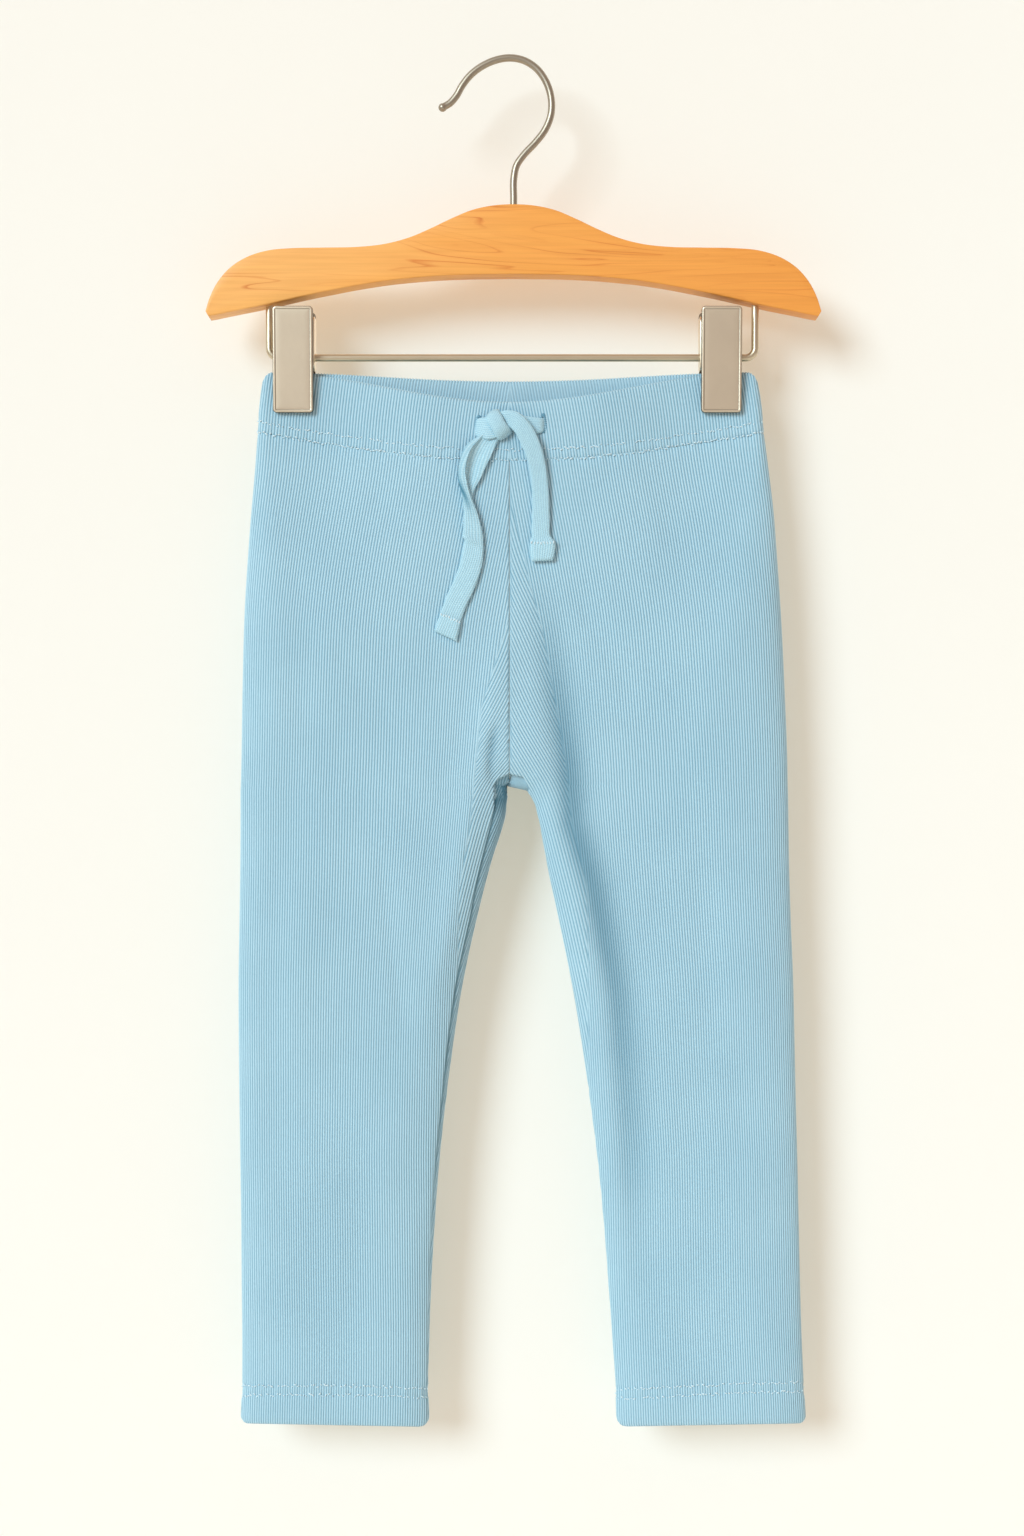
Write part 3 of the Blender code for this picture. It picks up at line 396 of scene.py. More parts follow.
def fold_offset(x, z, facing):
    """How far the soft folds draw the cloth in, over the view from the front."""
    inward = np.zeros(np.broadcast(x, z).shape)
    for fold in FOLDS:
        if fold.side != facing:
            continue
        apart, share = beside_line(fold.line, x, z)
        half = np.where(apart > 0, fold.right, fold.left) * MM
        ends = smoothstep(4.0 * share) * smoothstep(4.0 * (1.0 - share))
        inward += fold.depth * MM * ends * np.exp(-((apart / half) ** 2))
    for swell in SWELLS:
        turn = swell.across * x + swell.down * z + swell.phase * (1 if facing == FRONT else 3)
        inward += swell.height * MM * np.sin(turn)
    return inward


def fold_shade(x, z, facing):
    """How much painted shade the deep folds put on the cloth, from 0 to 1."""
    shade = np.zeros(np.broadcast(x, z).shape)
    for fold in FOLDS:
        if not fold.shade:
            continue
        apart, share = beside_line(fold.line, x, z)
        half = 0.7 * np.where(apart > 0, fold.right, fold.left) * MM
        ends = smoothstep(3.0 * share) * smoothstep(1.6 * (1.0 - share))
        shade += fold.shade * ends * np.exp(-((apart / half) ** 2)) * (facing == fold.side)
    return shade


def cloth_point(side, x, z, facing):
    """Outer face of the cloth at a place seen from the front, and its outward normal."""
    share = roundness(side, x, z)
    depth = full_depth(side, x, z, facing)
    rise = np.sqrt(np.maximum(share, 0.0))
    calm = smoothstep((rise - FOLD_FADE_FROM) / (FOLD_FADE_TO - FOLD_FADE_FROM))
    calm = calm * (1 - 0.8 * smoothstep((z - PINCH_TOP_Z) / (BAND_TOP_Z - PINCH_TOP_Z)))
    folded = depth - fold_offset(x, z, facing) * calm
    y = facing * folded * rise - column(DEPTHS, "forward", z)
    step = SLOPE_STEP
    slope_x = (roundness(side, x + step, z) - roundness(side, x - step, z)) / (2 * step)
    slope_z = (roundness(side, x, z + step) - roundness(side, x, z - step)) / (2 * step)
    normal = np.stack([-slope_x, 2 * facing * rise / depth, -slope_z], axis=-1)
    normal /= np.linalg.norm(normal, axis=-1, keepdims=True)
    return np.stack([x, y, z], axis=-1), normal


def middle_share(side, x, level):
    """Share of the way from the outer fold to the middle of the garment."""
    outer = column(OUTLINE, side + "_outer", level)
    return np.clip((x - outer) / (SEAM_X - outer), 0.0, 1.0)


def seam_height(side, x, facing):
    """Height of the waist seam, which hangs lower at the middle than at its ends."""
    dip = FRONT_SEAM_DIP if facing == FRONT else BACK_SEAM_DIP
    return BAND_SEAM_Z - dip * np.sin(0.5 * math.pi * middle_share(side, x, BAND_SEAM_Z))


def band_top_height(side, x, facing):
    """Height of the waistband's upper edge, which dips at the middle and rounds off its ends."""
    dip = FRONT_TOP_DIP if facing == FRONT else BACK_TOP_DIP
    outer = column(OUTLINE, side + "_outer", BAND_TOP_Z)
    corner = np.clip(1 - np.abs(x - outer) / CORNER_R, 0.0, 1.0)
    middle = 0.5 * (1 - np.cos(math.pi * middle_share(side, x, BAND_TOP_Z)))
    return BAND_TOP_Z - dip * middle - CORNER_DROP * (1 - np.sqrt(1 - corner**2))


def band_height(side, x, share, facing):
    low = seam_height(side, x, facing)
    return low + (band_top_height(side, x, facing) - low) * share


def leg_height(side, x, level, facing):
    """Height of a leg's row: it follows the waist seam above and the hem's corners below."""
    fade = np.clip((level - CROTCH_Z) / (BAND_SEAM_Z - CROTCH_Z), 0.0, None)
    z = level + (seam_height(side, x, facing) - BAND_SEAM_Z) * fade
    low = np.clip((level - HEM_CORNER_Z) / (HEM_Z - HEM_CORNER_Z), 0.0, 1.0)
    z = z + (0.8 - 2.3 * middle_share(side, x, HEM_Z)) * MM * low
    for edge, radius in (("_outer", HEM_CORNER), ("_inner", HEM_INNER_CORNER)):
        corner = np.clip(1 - np.abs(x - column(OUTLINE, side + edge, HEM_Z)) / radius, 0.0, 1.0)
        z = z + radius * (1 - np.sqrt(1 - corner**2)) * low
    return z


# -------- sections round the cloth
Section = namedtuple("Section", "points normals girths")


def section_round(side, outer, inner, height):
    """Closely spaced points and normals round one side of the garment, with their girths.

    Girth is measured along the cloth from the outer fold, plus over the front and minus over
    the back. The run starts at the back edge and ends at the front edge.
    """
    turn = np.linspace(0.0, math.pi, SECTION_SAMPLES)
    x = 0.5 * (outer + inner) + 0.5 * (outer - inner) * np.cos(turn)
    halves = {}
    for facing in (FRONT, BACK):
        points, normals = cloth_point(side, x, height(x, facing), facing)
        steps = np.linalg.norm(np.diff(points[:, :2], axis=0), axis=1)
        halves[facing] = (points, normals, np.concatenate([[0.0], np.cumsum(steps)]))
    (front, front_normals, front_girths), (back, back_normals, back_girths) = halves.values()
    return Section(
        np.concatenate([back[::-1], front[1:]]),
        np.concatenate([back_normals[::-1], front_normals[1:]]),
        np.concatenate([-back_girths[::-1], front_girths[1:]]),
    )


def leg_section(side, level):
    """Section of one leg: open at the centre seams above the crotch, closed below it."""
    outer = column(OUTLINE, side + "_outer", level)
    inner = SEAM_X + (-0.06 * MM if side == "left" else 0.06 * MM)
    if level <= CROTCH_Z:
        edge = column(OUTLINE, side + "_inner", level)
        inner = min(edge, inner) if side == "left" else max(edge, inner)
    return section_round(side, outer, inner, lambda x, facing: leg_height(side, x, level, facing))


def band_section(side, share):
    """Section of one half of the waistband, from centre back to centre front."""
    outer = column(OUTLINE, side + "_outer", BAND_SEAM_Z + (BAND_TOP_Z - BAND_SEAM_Z) * share)
    return section_round(side, outer, SEAM_X, lambda x, facing: band_height(side, x, share, facing))


def sample_row(section, girths):
    """Points and normals of a section at some girths."""
    at = [np.interp(girths, section.girths, section.points[:, i]) for i in range(3)]
    facing = [np.interp(girths, section.girths, section.normals[:, i]) for i in range(3)]
    facing = np.stack(facing, axis=1)
    return np.stack(at, axis=1), facing / np.linalg.norm(facing, axis=1, keepdims=True)


def level_normals(normals):
    flat = normals * (1.0, 1.0, 0.0)
    return flat / np.linalg.norm(flat, axis=1, keepdims=True)


def crossing(section, facing, beyond):
    """Girth where one half of a section first passes a limit on its way to the inner edge."""
    half = section.girths * -facing >= 0
    girths, points = section.girths[half], section.points[half]
    if facing == BACK:
        girths, points = girths[::-1], points[::-1]
    past = beyond(points[:, 0], points[:, 2])
    inside = np.nonzero(past > 0)[0]
    if not len(inside) or inside[0] == 0:
        return girths[-1]
    i = inside[0]
    t = past[i - 1] / (past[i - 1] - past[i])
    return girths[i - 1] + (girths[i] - girths[i - 1]) * t


# -------- mesh building
class Shell:
    """Points and triangles of one closed surface, with one value a point for each attribute."""

    def __init__(self):
        self.points = []
        self.faces = []
        self.values = {}

    def add(self, points, **values):
        first = len(self.points)
        self.points.extend(np.asarray(points).tolist())
        for name in set(self.values) | set(values):
            kept = self.values.setdefault(name, [0.0] * first)
            kept.extend(np.broadcast_to(values.get(name, 0.0), len(points)).tolist())
        return list(range(first, first + len(points)))

    def bridge(self, row_a, keys_a, row_b, keys_b, flip=False):
        """Triangles between two rows of points, matched by their keys, which rise."""
        i = j = 0
        last_i, last_j = len(row_a) - 1, len(row_b) - 1
        while i < last_i or j < last_j:
            if i < last_i and (j == last_j or keys_a[i + 1] <= keys_b[j + 1]):
                face = (row_a[i], row_b[j], row_a[i + 1])
                i += 1
            else:
                face = (row_a[i], row_b[j], row_b[j + 1])
                j += 1
            if len(set(face)) == 3:
                self.faces.append(face[::-1] if flip else face)

    def loft(self, sections, **values):
        """A closed run of rings of equally many points, capped at both ends."""
        rings = [
            self.add(section, **{name: value[i] for name, value in values.items()})
            for i, section in enumerate(sections)
        ]
        count = len(rings[0])
        for a, b in zip(rings, rings[1:]):
            for i in range(count):
                j = (i + 1) % count
                self.faces.append((a[i], b[i], b[j], a[j]))
        self.faces.append(tuple(rings[0]))
        self.faces.append(tuple(reversed(rings[-1])))

    def mesh_object(self, name, sharp=None):
        mesh = bpy.data.meshes.new(name)
        mesh.from_pydata(self.points, [], self.faces)
        for key, kept in self.values.items():
            mesh.attributes.new(key, "FLOAT", "POINT").data.foreach_set("value", kept)
        shape = bmesh.new()
        shape.from_mesh(mesh)
        bmesh.ops.recalc_face_normals(shape, faces=shape.faces)
        shape.to_mesh(mesh)
        shape.free()
        mesh.shade_smooth()
        if sharp:
            mesh.set_sharp_from_angle(angle=math.radians(sharp))
        obj = bpy.data.objects.new(name, mesh)
        bpy.context.scene.collection.objects.link(obj)
        return obj


def dress(obj, finish, slot, *nodes):
    """Gives a piece its finish, parents it to the root and hides the solids that it stands for."""
    obj.data.materials.append(finish)
    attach(obj, "root")
    if nodes:
        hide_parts(*nodes)
    return obj


# -------- legs
Stretch = namedtuple("Stretch", "girths keys phases")


def stretch(section, labels, low, high):
    """Columns of one run of ribs in a row, between two girths: one label a rib's quarter."""
    if high - low < NARROWEST:
        return Stretch(np.array([low]), np.array([0.0]), np.array([-1]))
    ends = np.interp([low, high], section.girths, labels)
    first = math.ceil(ends[0] / STEP + EDGE_CLEAR)
    whole = np.arange(first, math.floor(ends[1] / STEP - EDGE_CLEAR) + 1)
    inside = np.interp(whole * STEP, labels, section.girths)
    return Stretch(
        np.concatenate([[low], inside, [high]]),
        np.concatenate([ends[:1], whole * STEP, ends[1:]]),
        np.concatenate([[-1], whole % 4, [-1]]),
    )


def leg_stretches(side, section):
    """The runs of ribs in one row of a leg, from the back edge to the front edge."""
    toward = 1 if side == "left" else -1
    girths = section.girths

    def past_wedge(x, z):
        top, foot = WEDGE_LINE[side][0][0] * MM, WEDGE_LINE[side][-1][0] * MM
        within = (z < top) & (z > foot)
        return np.where(within, (x - MM * table_at(WEDGE_LINE[side], z)) * toward, -1.0)

    def past_inseam(x, z):
        edge = column(OUTLINE, side + "_inner", z)
        below = (x - edge) * toward + MM * table_at(INSEAM, z)
        return np.where(z < CROTCH_Z, below, crotch_edge(x) - z)

    limits = [girths[0], crossing(section, BACK, past_wedge), crossing(section, FRONT, past_wedge)]
    limits.append(girths[-1])
    seam = crossing(section, INSEAM_FACE[side], past_inseam)
    shown = girths[-1] if INSEAM_FACE[side] == FRONT else girths[0]
    if abs(seam - shown) < NARROWEST:
        seam = shown
    if INSEAM_FACE[side] == FRONT:
        limits[2] = min(limits[2], seam)
        limits.insert(3, seam)
    else:
        limits[1] = max(limits[1], seam)
        limits.insert(1, seam)
    z = section.points[:, 2]
    main = girths + slide(MAIN_SLANT[side], z) * np.tanh(girths / MAIN_REACH)
    moved = max((column(OUTLINE, side + "_inner", z[-1]) - SEAM_X) * -toward, 0.0)
    centre = moved + np.where(girths > 0, girths[-1] - girths, girths - girths[0])
    reach = MM * table_at(NEAR_REACH, z)
    main = main + np.sign(girths) * slide(NEAR_SLANT, z) * np.exp(-((centre / reach) ** 2))
    runs = []
    for i, (low, high) in enumerate(zip(limits, limits[1:])):
        if high - low < NARROWEST:
            high = limits[i + 1] = low
        middle = 0.5 * (low + high)
        facing = FRONT if middle > 0 else BACK
        foot_z = z[-1 if facing == FRONT else 0]
        strip = (i == 3) if INSEAM_FACE[side] == FRONT else (i == 0)
        wedge = i in ((0, 2) if INSEAM_FACE[side] == FRONT else (1, 3))
        labels = main
        if strip or wedge:
            slant = INSEAM_SLANT if strip else WEDGE_SLANT[side]
            wide = abs(column(OUTLINE, side + "_outer", foot_z) - SEAM_X)
            labels = WEDGE_DENSER * (girths - facing * (slide(slant, foot_z) - wide))
        runs.append(stretch(section, labels, low, high))
    return runs, seam


def crotch_edge(x):
    """Height of the edge of the cloth over the crotch."""
    edge_x, edge_z = (np.array(values) * MM for values in zip(*CROTCH_EDGE))
    return np.interp(x, edge_x, edge_z, left=-1.0, right=-1.0)


def pucker(girths, z, line):
    """Small uneven dents beside a row of stitches at the heights `line`."""
    ripple = sum(np.sin(girths / (wave * MM) + turn) * share for wave, turn, share in PUCKER_WAVES)
    return PUCKER_DEPTH * ripple * np.exp(-(((z - line) / PUCKER_HALF) ** 2))


def stitch_line(side, x, facing):
    """Height of the middle between the two rows of stitches above the hem."""
    share = middle_share(side, x, HEM_Z)
    if facing == BACK:
        return (-607.2 + 0.8 * share) * MM
    if side == "left":
        return (-607.0 - 1.2 * smoothstep(3 * share - 1.2)) * MM
    return (-605.4 - 3.2 * smoothstep(1.4 * share)) * MM


def groove(side, points, girths, seam, is_open):
    """How far creases and seams draw the outer face in, and how much painted shade they get."""
    x, z = points[:, 0], points[:, 2]
    deep = np.zeros(len(x))
    shade = np.zeros(len(x))
    near = np.minimum(girths - girths[0], girths[-1] - girths)
    if is_open:
        line = np.exp(-((near / SEAM_HALF) ** 2))
        deep += SEAM_GROOVE * line
        shade += SEAM_SHADE * line
    front = girths > 0
    shown = front if INSEAM_FACE[side] == FRONT else ~front
    if not is_open:
        inside = (girths - seam) * (1 if INSEAM_FACE[side] == FRONT else -1)
        fade = 1 - smoothstep((INSEAM_FADE_FROM_Z - z) / INSEAM_FADE_OVER)
        line = np.exp(-((inside / INSEAM_HALF) ** 2)) * shown
        beyond = smoothstep(inside / INSEAM_HALF) * shown
        deep += fade * (INSEAM_GROOVE * line + INSEAM_DROP * beyond)
        high = smoothstep((z - CROTCH_Z + INSEAM_SHADE_OVER) / INSEAM_SHADE_OVER)
        # painted shade in the inseam groove and on the strip beyond it, more near the crotch
        shade += fade * (0.75 * line + (0.1 + 0.3 * high) * beyond)
    sunk = smoothstep((crotch_edge(x) - z) / CROTCH_SOFT)
    sunk = sunk * smoothstep((z - CROTCH_Z + CROTCH_SINK_REACH) / CROTCH_SINK_FADE)
    deep += CROTCH_SINK[side] * sunk
    shade += CROTCH_SHADE * sunk
    shade += np.where(front, fold_shade(x, z, FRONT), 0.0)
    sewn = np.where(front, stitch_line(side, x, FRONT), stitch_line(side, x, BACK))
    for offset in HEM_ROWS:
        deep += HEM_FURROW * np.exp(-(((z - sewn - offset * MM) / FURROW_HALF) ** 2))
    deep += pucker(girths, z, sewn)
    deep -= 0.25 * MM * smoothstep((sewn - 2 * MM - z) / (2 * MM))
    waist = np.where(front, seam_height(side, x, FRONT), seam_height(side, x, BACK))
    deep += pucker(girths, z, waist - 0.3 * MM)
    return deep, np.clip(shade, 0.0, 1.0)


LegRow = namedtuple("LegRow", "level drop ribbed")


def leg_rows():
    """Heights of a leg's rows, how far each lies inside the outer face, and if it is ribbed."""
    levels = [
        *np.arange(-170.6, -240.0, -5.4), *np.arange(-240.8, -318.0, -3.7),
        *np.arange(-318.0, -336.0, -1.0), *np.arange(-336.0, -352.0, -2.0),
        *np.arange(-352.0, -420.0, -4.0), *np.arange(-420.0, -601.0, -5.8),
        *np.arange(-602.4, -612.4, -1.0), -615.0, -618.5,
    ]
    rows = [LegRow(-168.4, 0.9, True), LegRow(-169.3, 0.45, True)]
    rows += [LegRow(level, 0.0, True) for level in levels]
    rows += [LegRow(-620.9, 0.05, True), LegRow(-622.1, 0.3, True), LegRow(-622.7, 0.8, True)]
    rows += [LegRow(-622.9, 1.3, False), LegRow(-622.5, 2.0, False), LegRow(-621.3, 2.5, False)]
    rows += [LegRow(level, 2.6, False) for level in (-617.0, -611.0, -606.0)]
    rows += [LegRow(level, 1.6, False) for level in (-605.0, *np.arange(-590.0, -340.0, 12.0))]
    rows += [LegRow(level, 1.6, False) for level in (-336.0, -333.0, -331.0, -329.0, -320.0)]
    return rows + [LegRow(level, 1.6, False) for level in np.arange(-305.0, -175.0, 12.0)] + [
        LegRow(-168.6, 1.6, False)
    ]


def leg_row(shell, side, row):
    """One row of points round a leg: its runs of points and keys, and the whole row."""
    level = row.level * MM
    section = leg_section(side, level)
    is_open = level > CROTCH_Z
    if row.ribbed:
        runs, seam = leg_stretches(side, section)
    else:
        whole = np.linspace(section.girths[0], section.girths[-1], 61)
        runs, seam = [Stretch(whole, whole, np.full(61, -1))], 0.0
    girths = np.concatenate([runs[0].girths] + [run.girths[1:] for run in runs[1:]])
    phases = np.concatenate([runs[0].phases] + [run.phases[1:] for run in runs[1:]])
    points, normals = sample_row(section, girths)
    if is_open:
        normals[0, 0] = normals[-1, 0] = 0.0
    else:
        middle = normals[0] + normals[-1]
        normals[0] = normals[-1] = middle / np.linalg.norm(middle)
    out = np.full(len(girths), -row.drop * MM)
    # painted shade: each rib's valley takes the darker knit colour
    rib = np.where(phases >= 0, RIB_SHADE[phases], 0.5)
    shade = np.zeros(len(girths))
    if row.ribbed:
        deep, shade = groove(side, points, girths, seam, is_open)
        limits = np.array([run.girths[-1] for run in runs] + [girths[0]])
        near = np.abs(np.subtract.outer(girths, limits)).min(axis=1)
        high = np.where(phases >= 0, RIB_PROFILE[phases], 0.0) * smoothstep(near / RIB_FADE)
        out = out - deep + 0.5 * RIB_RISE * high
    if row.drop:
        normals = level_normals(normals)
    points = as_seen(points + normals * out[:, None])
    keep = slice(None) if is_open else slice(0, -1)
    made = shell.add(points[keep], rib=rib[keep], crease=shade[keep])
    if not is_open:
        made.append(made[0])
    parts, start = [], 0
    for run in runs:
        parts.append((made[start:start + len(run.girths)], run.keys.tolist()))
        start += len(run.girths) - 1
    return parts, made, girths.tolist()


def leg(side):
    shell = Shell()
    rows = leg_rows()
    made = [leg_row(shell, side, row) for row in rows]
    for (parts_a, all_a, girths_a), (parts_b, all_b, girths_b) in zip(made, made[1:] + made[:1]):
        if len(parts_a) == len(parts_b) > 1:
            for run_a, run_b in zip(parts_a, parts_b):
                shell.bridge(*run_a, *run_b)
        else:
            shell.bridge(all_a, girths_a, all_b, girths_b)
    opened = [row.level * MM > CROTCH_Z for row in rows]
    first = opened.index(False)
    outer = made[:first + 1]
    inner = [item for item, row in zip(made, rows) if not row.ribbed and row.level * MM > CROTCH_Z]
    last = [item for item, row in zip(made, rows) if not row.ribbed and row.level * MM <= CROTCH_Z]
    inner = [last[-1]] + inner
    for end in (0, -1):
        up = [item[1][end] for item in outer][::-1]
        down = [item[1][end] for item in inner]
        high_up = [shell.points[i][2] for i in up]
        high_down = [shell.points[i][2] for i in down]
        shell.bridge(up, high_up, down, high_down)
    return shell.mesh_object("leg_cloth_" + side)


# -------- waistband
# Rows of the waistband: share of its height, and how far it stands off the cloth's outer face.
# It goes up the outer face, over the folded upper edge and down the inner face.
BandRow = namedtuple("BandRow", "share out turn ribbed")
BAND_PROUD = 0.15
BAND_WALL = 2.3
BAND_FOLD_R = 0.5 * (BAND_PROUD + BAND_WALL)


def band_rows():
    rows = [BandRow(-0.03, -0.7, 0.0, True), BandRow(0.0, -0.12, 0.0, True)]
    rows += [BandRow(share, BAND_PROUD, 0.0, True) for share in
             (0.02, 0.045, 0.07, 0.1, 0.13, 0.16, 0.19, 0.22, 0.26, 0.32, 0.45, 0.6, 0.75, 0.88)]
    for degrees in range(0, 181, 20):
        turn = math.radians(degrees)
        rows.append(BandRow(
            0.954 + 0.046 * math.sin(turn),
            BAND_PROUD - BAND_FOLD_R * (1 - math.cos(turn)), turn, True,
        ))
    rows += [BandRow(share, BAND_PROUD - 2 * BAND_FOLD_R, math.pi, True)
             for share in (0.85, 0.6, 0.35, 0.12, 0.04)]
    return rows + [BandRow(-0.03, BAND_PROUD - 2 * BAND_FOLD_R, math.pi, False)]


def band_ring(shell, row):
    """One closed row round the waistband, as its left half and its right half."""
    made = []
    for side in SIDES:
        section = band_section(side, row.share)
        run = stretch(section, section.girths, section.girths[0], section.girths[-1])
        points, normals = sample_row(section, run.girths)
        normals = level_normals(normals)
        near = np.minimum(run.girths - run.girths[0], run.girths[-1] - run.girths)
        high = np.where(run.phases >= 0, RIB_PROFILE[run.phases], 0.0) * smoothstep(near / RIB_FADE)
        rib = np.where(run.phases >= 0, RIB_SHADE[run.phases], 0.5)
        # Painted light: the inner face of the band is lifted towards the crest colour, brighter
        # than its own shading gives.
        if row.turn == math.pi:
            rib = 0.35 + 0.65 * rib
        deep = np.zeros(len(run.girths))
        if row.turn == 0.0:
            front = run.girths > 0
            z = points[:, 2]
            seam = np.where(front, seam_height(side, points[:, 0], FRONT),
                            seam_height(side, points[:, 0], BACK))
            deep += pucker(run.girths, z, seam + 2.4 * MM)
            for offset in WAIST_ROWS:
                deep += WAIST_FURROW * np.exp(-(((z - seam - offset * MM) / FURROW_HALF) ** 2))
        out = row.out * MM - deep
        rise = 0.5 * RIB_RISE * high
        up = np.array([0.0, 0.0, 1.0])
        points = points + normals * (out + rise * math.cos(row.turn))[:, None]
        points = points + up * (rise * math.sin(row.turn))[:, None]
        made.append((as_seen(points), run.keys, rib))
    (left, left_keys, left_rib), (right, right_keys, right_rib) = made
    first = shell.add(left, rib=left_rib)
    second = shell.add(right[::-1][1:-1], rib=right_rib[::-1][1:-1])
    second = [first[-1]] + second + [first[0]]
    return first, left_keys.tolist(), second, (-right_keys[::-1]).tolist()


def waistband():
    shell = Shell()
    rings = [band_ring(shell, row) for row in band_rows()]
    for ring_a, ring_b in zip(rings, rings[1:] + rings[:1]):
        shell.bridge(*ring_a[:2], *ring_b[:2])
        shell.bridge(*ring_a[2:], *ring_b[2:])
    return shell.mesh_object("waistband_cloth")


# -------- threads
def add_thread(shell, centre, along, out, length, radius, lift=0.1 * MM):
    """One short stitch: a bead of thread that dips into the cloth at both ends."""
    across = np.cross(along, out)
    rings = []
    for t, share in THREAD_PROFILE:
        middle = centre + along * length * t + out * (lift - radius * (2 * t) ** 4)
        rings.append([
            middle + radius * share * (across * math.cos(a) + out * math.sin(a))
            for a in np.linspace(0.0, 2 * math.pi, THREAD_SIDES, endpoint=False)
        ])
    shell.loft(rings)


def stitch_row(shell, side, height, level, out):
    """A row of stitches round one side of the garment at a given height."""
    outer = column(OUTLINE, side + "_outer", level)
    inner = column(OUTLINE, side + "_inner", level)
    section = section_round(side, outer, inner, height)
    girths = np.arange(section.girths[0] + 0.6 * MM, section.girths[-1] - 0.6 * MM, STITCH_STEP)
    girths = girths + rng.uniform(-0.35, 0.35, len(girths)) * MM
    points, normals = sample_row(section, girths)
    ahead, _ = sample_row(section, girths + 0.5 * MM)
    for point, normal, after in zip(points, level_normals(normals), ahead):
        if rng.uniform() < STITCH_SKIPPED:
            continue
        along = after - point
        along = along / max(np.linalg.norm(along), 1e-9)
        along = along + np.array([0.0, 0.0, rng.uniform(-1.1, 1.1)])
        along = along / np.linalg.norm(along)
        place = point + normal * out + np.array([0.0, 0.0, rng.uniform(-0.6, 0.6) * MM])
        add_thread(
            shell, as_seen([place])[0], along, normal,
            STITCH_LONG * rng.uniform(0.4, 0.95), STITCH_R * rng.uniform(0.6, 1.2), 0.14 * MM,
        )


def waist_threads():
    shell = Shell()
    for side in SIDES:
        for offset in WAIST_ROWS:
            stitch_row(
                shell, side, lambda x, facing: seam_height(side, x, facing) + offset * MM,
                BAND_SEAM_Z, 0.25 * MM,
            )
    return shell.mesh_object("waist_stitches")


def hem_threads(side):
    shell = Shell()
    for offset in HEM_ROWS:
        stitch_row(
            shell, side, lambda x, facing: stitch_line(side, x, facing) + offset * MM,
            -607.0 * MM, 0.12 * MM,
        )
    return shell.mesh_object("hem_stitches_" + side)


# -------- drawstring
TAPE_W = 9.4 * MM
TAPE_THICK = 1.4 * MM
TAPE_END = 9.6 * MM  # the ends are turned over and sewn for this length
TAPE_ACROSS = 17
TAPE_BLOCK = 0.8  # how much thicker a turned end is
TAPE_TIP = 1.4 * MM  # its rounding
HOLLOW_AT = 0.66  # where across the folded tape its hollow lies, with painted shade in it, and how wide it is
HOLLOW_HALF = 0.15

# Each row of a tape is a line across it: x, z and how far it stands off the cloth. The left tail
# starts in the right eyelet, passes under the knot and folds over along its own length.
LEFT_TAIL = [
    [(16, -169, -0.8), (16, -162.8, -0.8)],
    [(14.8, -169.5, 0.9), (14.8, -162.8, 0.9)],
    [(11.4, -170.2, 1.3), (11.4, -162.5, 1.4)],
    [(6.9, -170.4, 1.3), (6.9, -161.7, 1.3)],
    [(2.1, -168.7, 1.4), (1.8, -160.6, 1.4)],
    [(-1.8, -169.9, 1.4), (-3.2, -161, 1.4)],
    [(-4.3, -172, 1.5), (-6.2, -169.2, 1.4), (-8, -166.5, 1.4), (-9.8, -163.8, 1.4)],
    [(-5.7, -174.7, 1.8), (-9.1, -172.7, 1.4), (-12.6, -170.8, 1.8), (-11, -169.5, 2.4)],
    [(-7.5, -178.4, 2.3), (-13.2, -177.5, 1.3), (-18.3, -175, 3.6), (-16.7, -175.9, 4.6)],
    [(-10.5, -184.8, 2.3), (-17.4, -183.9, 1.2), (-21.7, -181.6, 4), (-19.4, -182.5, 5.2)],
    [(-13.2, -190.7, 2.1), (-19.2, -190.3, 1.1), (-22.7, -188.4, 3.8), (-19.9, -189.1, 5)],
    [(-15.8, -195.5, 1.8), (-19.4, -195.3, 1.1), (-22.2, -193, 3.2), (-18.5, -194.8, 4.3)],
    [(-16.9, -199.8, 1.4), (-19, -199.4, 1.1), (-21, -197.1, 2.7), (-16.7, -200.3, 3.6)],
    [(-17.4, -204.4, 1.2), (-19, -204.4, 1.1), (-20.1, -203.5, 2.2), (-14.4, -206.2, 3)],
    [(-18.5, -211.7, 1.1), (-19.2, -211.7, 1.2), (-20, -211.3, 1.8), (-12.3, -214, 2.4)],
    [(-20.5, -219.1, 1.5), (-20.3, -219.2, 1.5), (-20, -219.3, 1.6), (-11.6, -221.8, 1.9)],
    [(-21.7, -225.9, 1.5), (-12.1, -229.1, 1.7)],
    [(-23.3, -231.8, 1.4), (-13.9, -235.9, 1.6)],
    [(-26, -238.4, 1.3), (-16.7, -242.8, 1.5)],
    [(-28.8, -244.6, 1.3), (-19.6, -249.2, 1.4)],
    [(-31.1, -251, 1.4), (-21.9, -255.4, 1.4)],
    [(-32.7, -255.6, 1.6), (-22.6, -259.7, 1.6)],
    [(-34.3, -260.1, 1.6), (-24, -264.9, 1.6)],
]
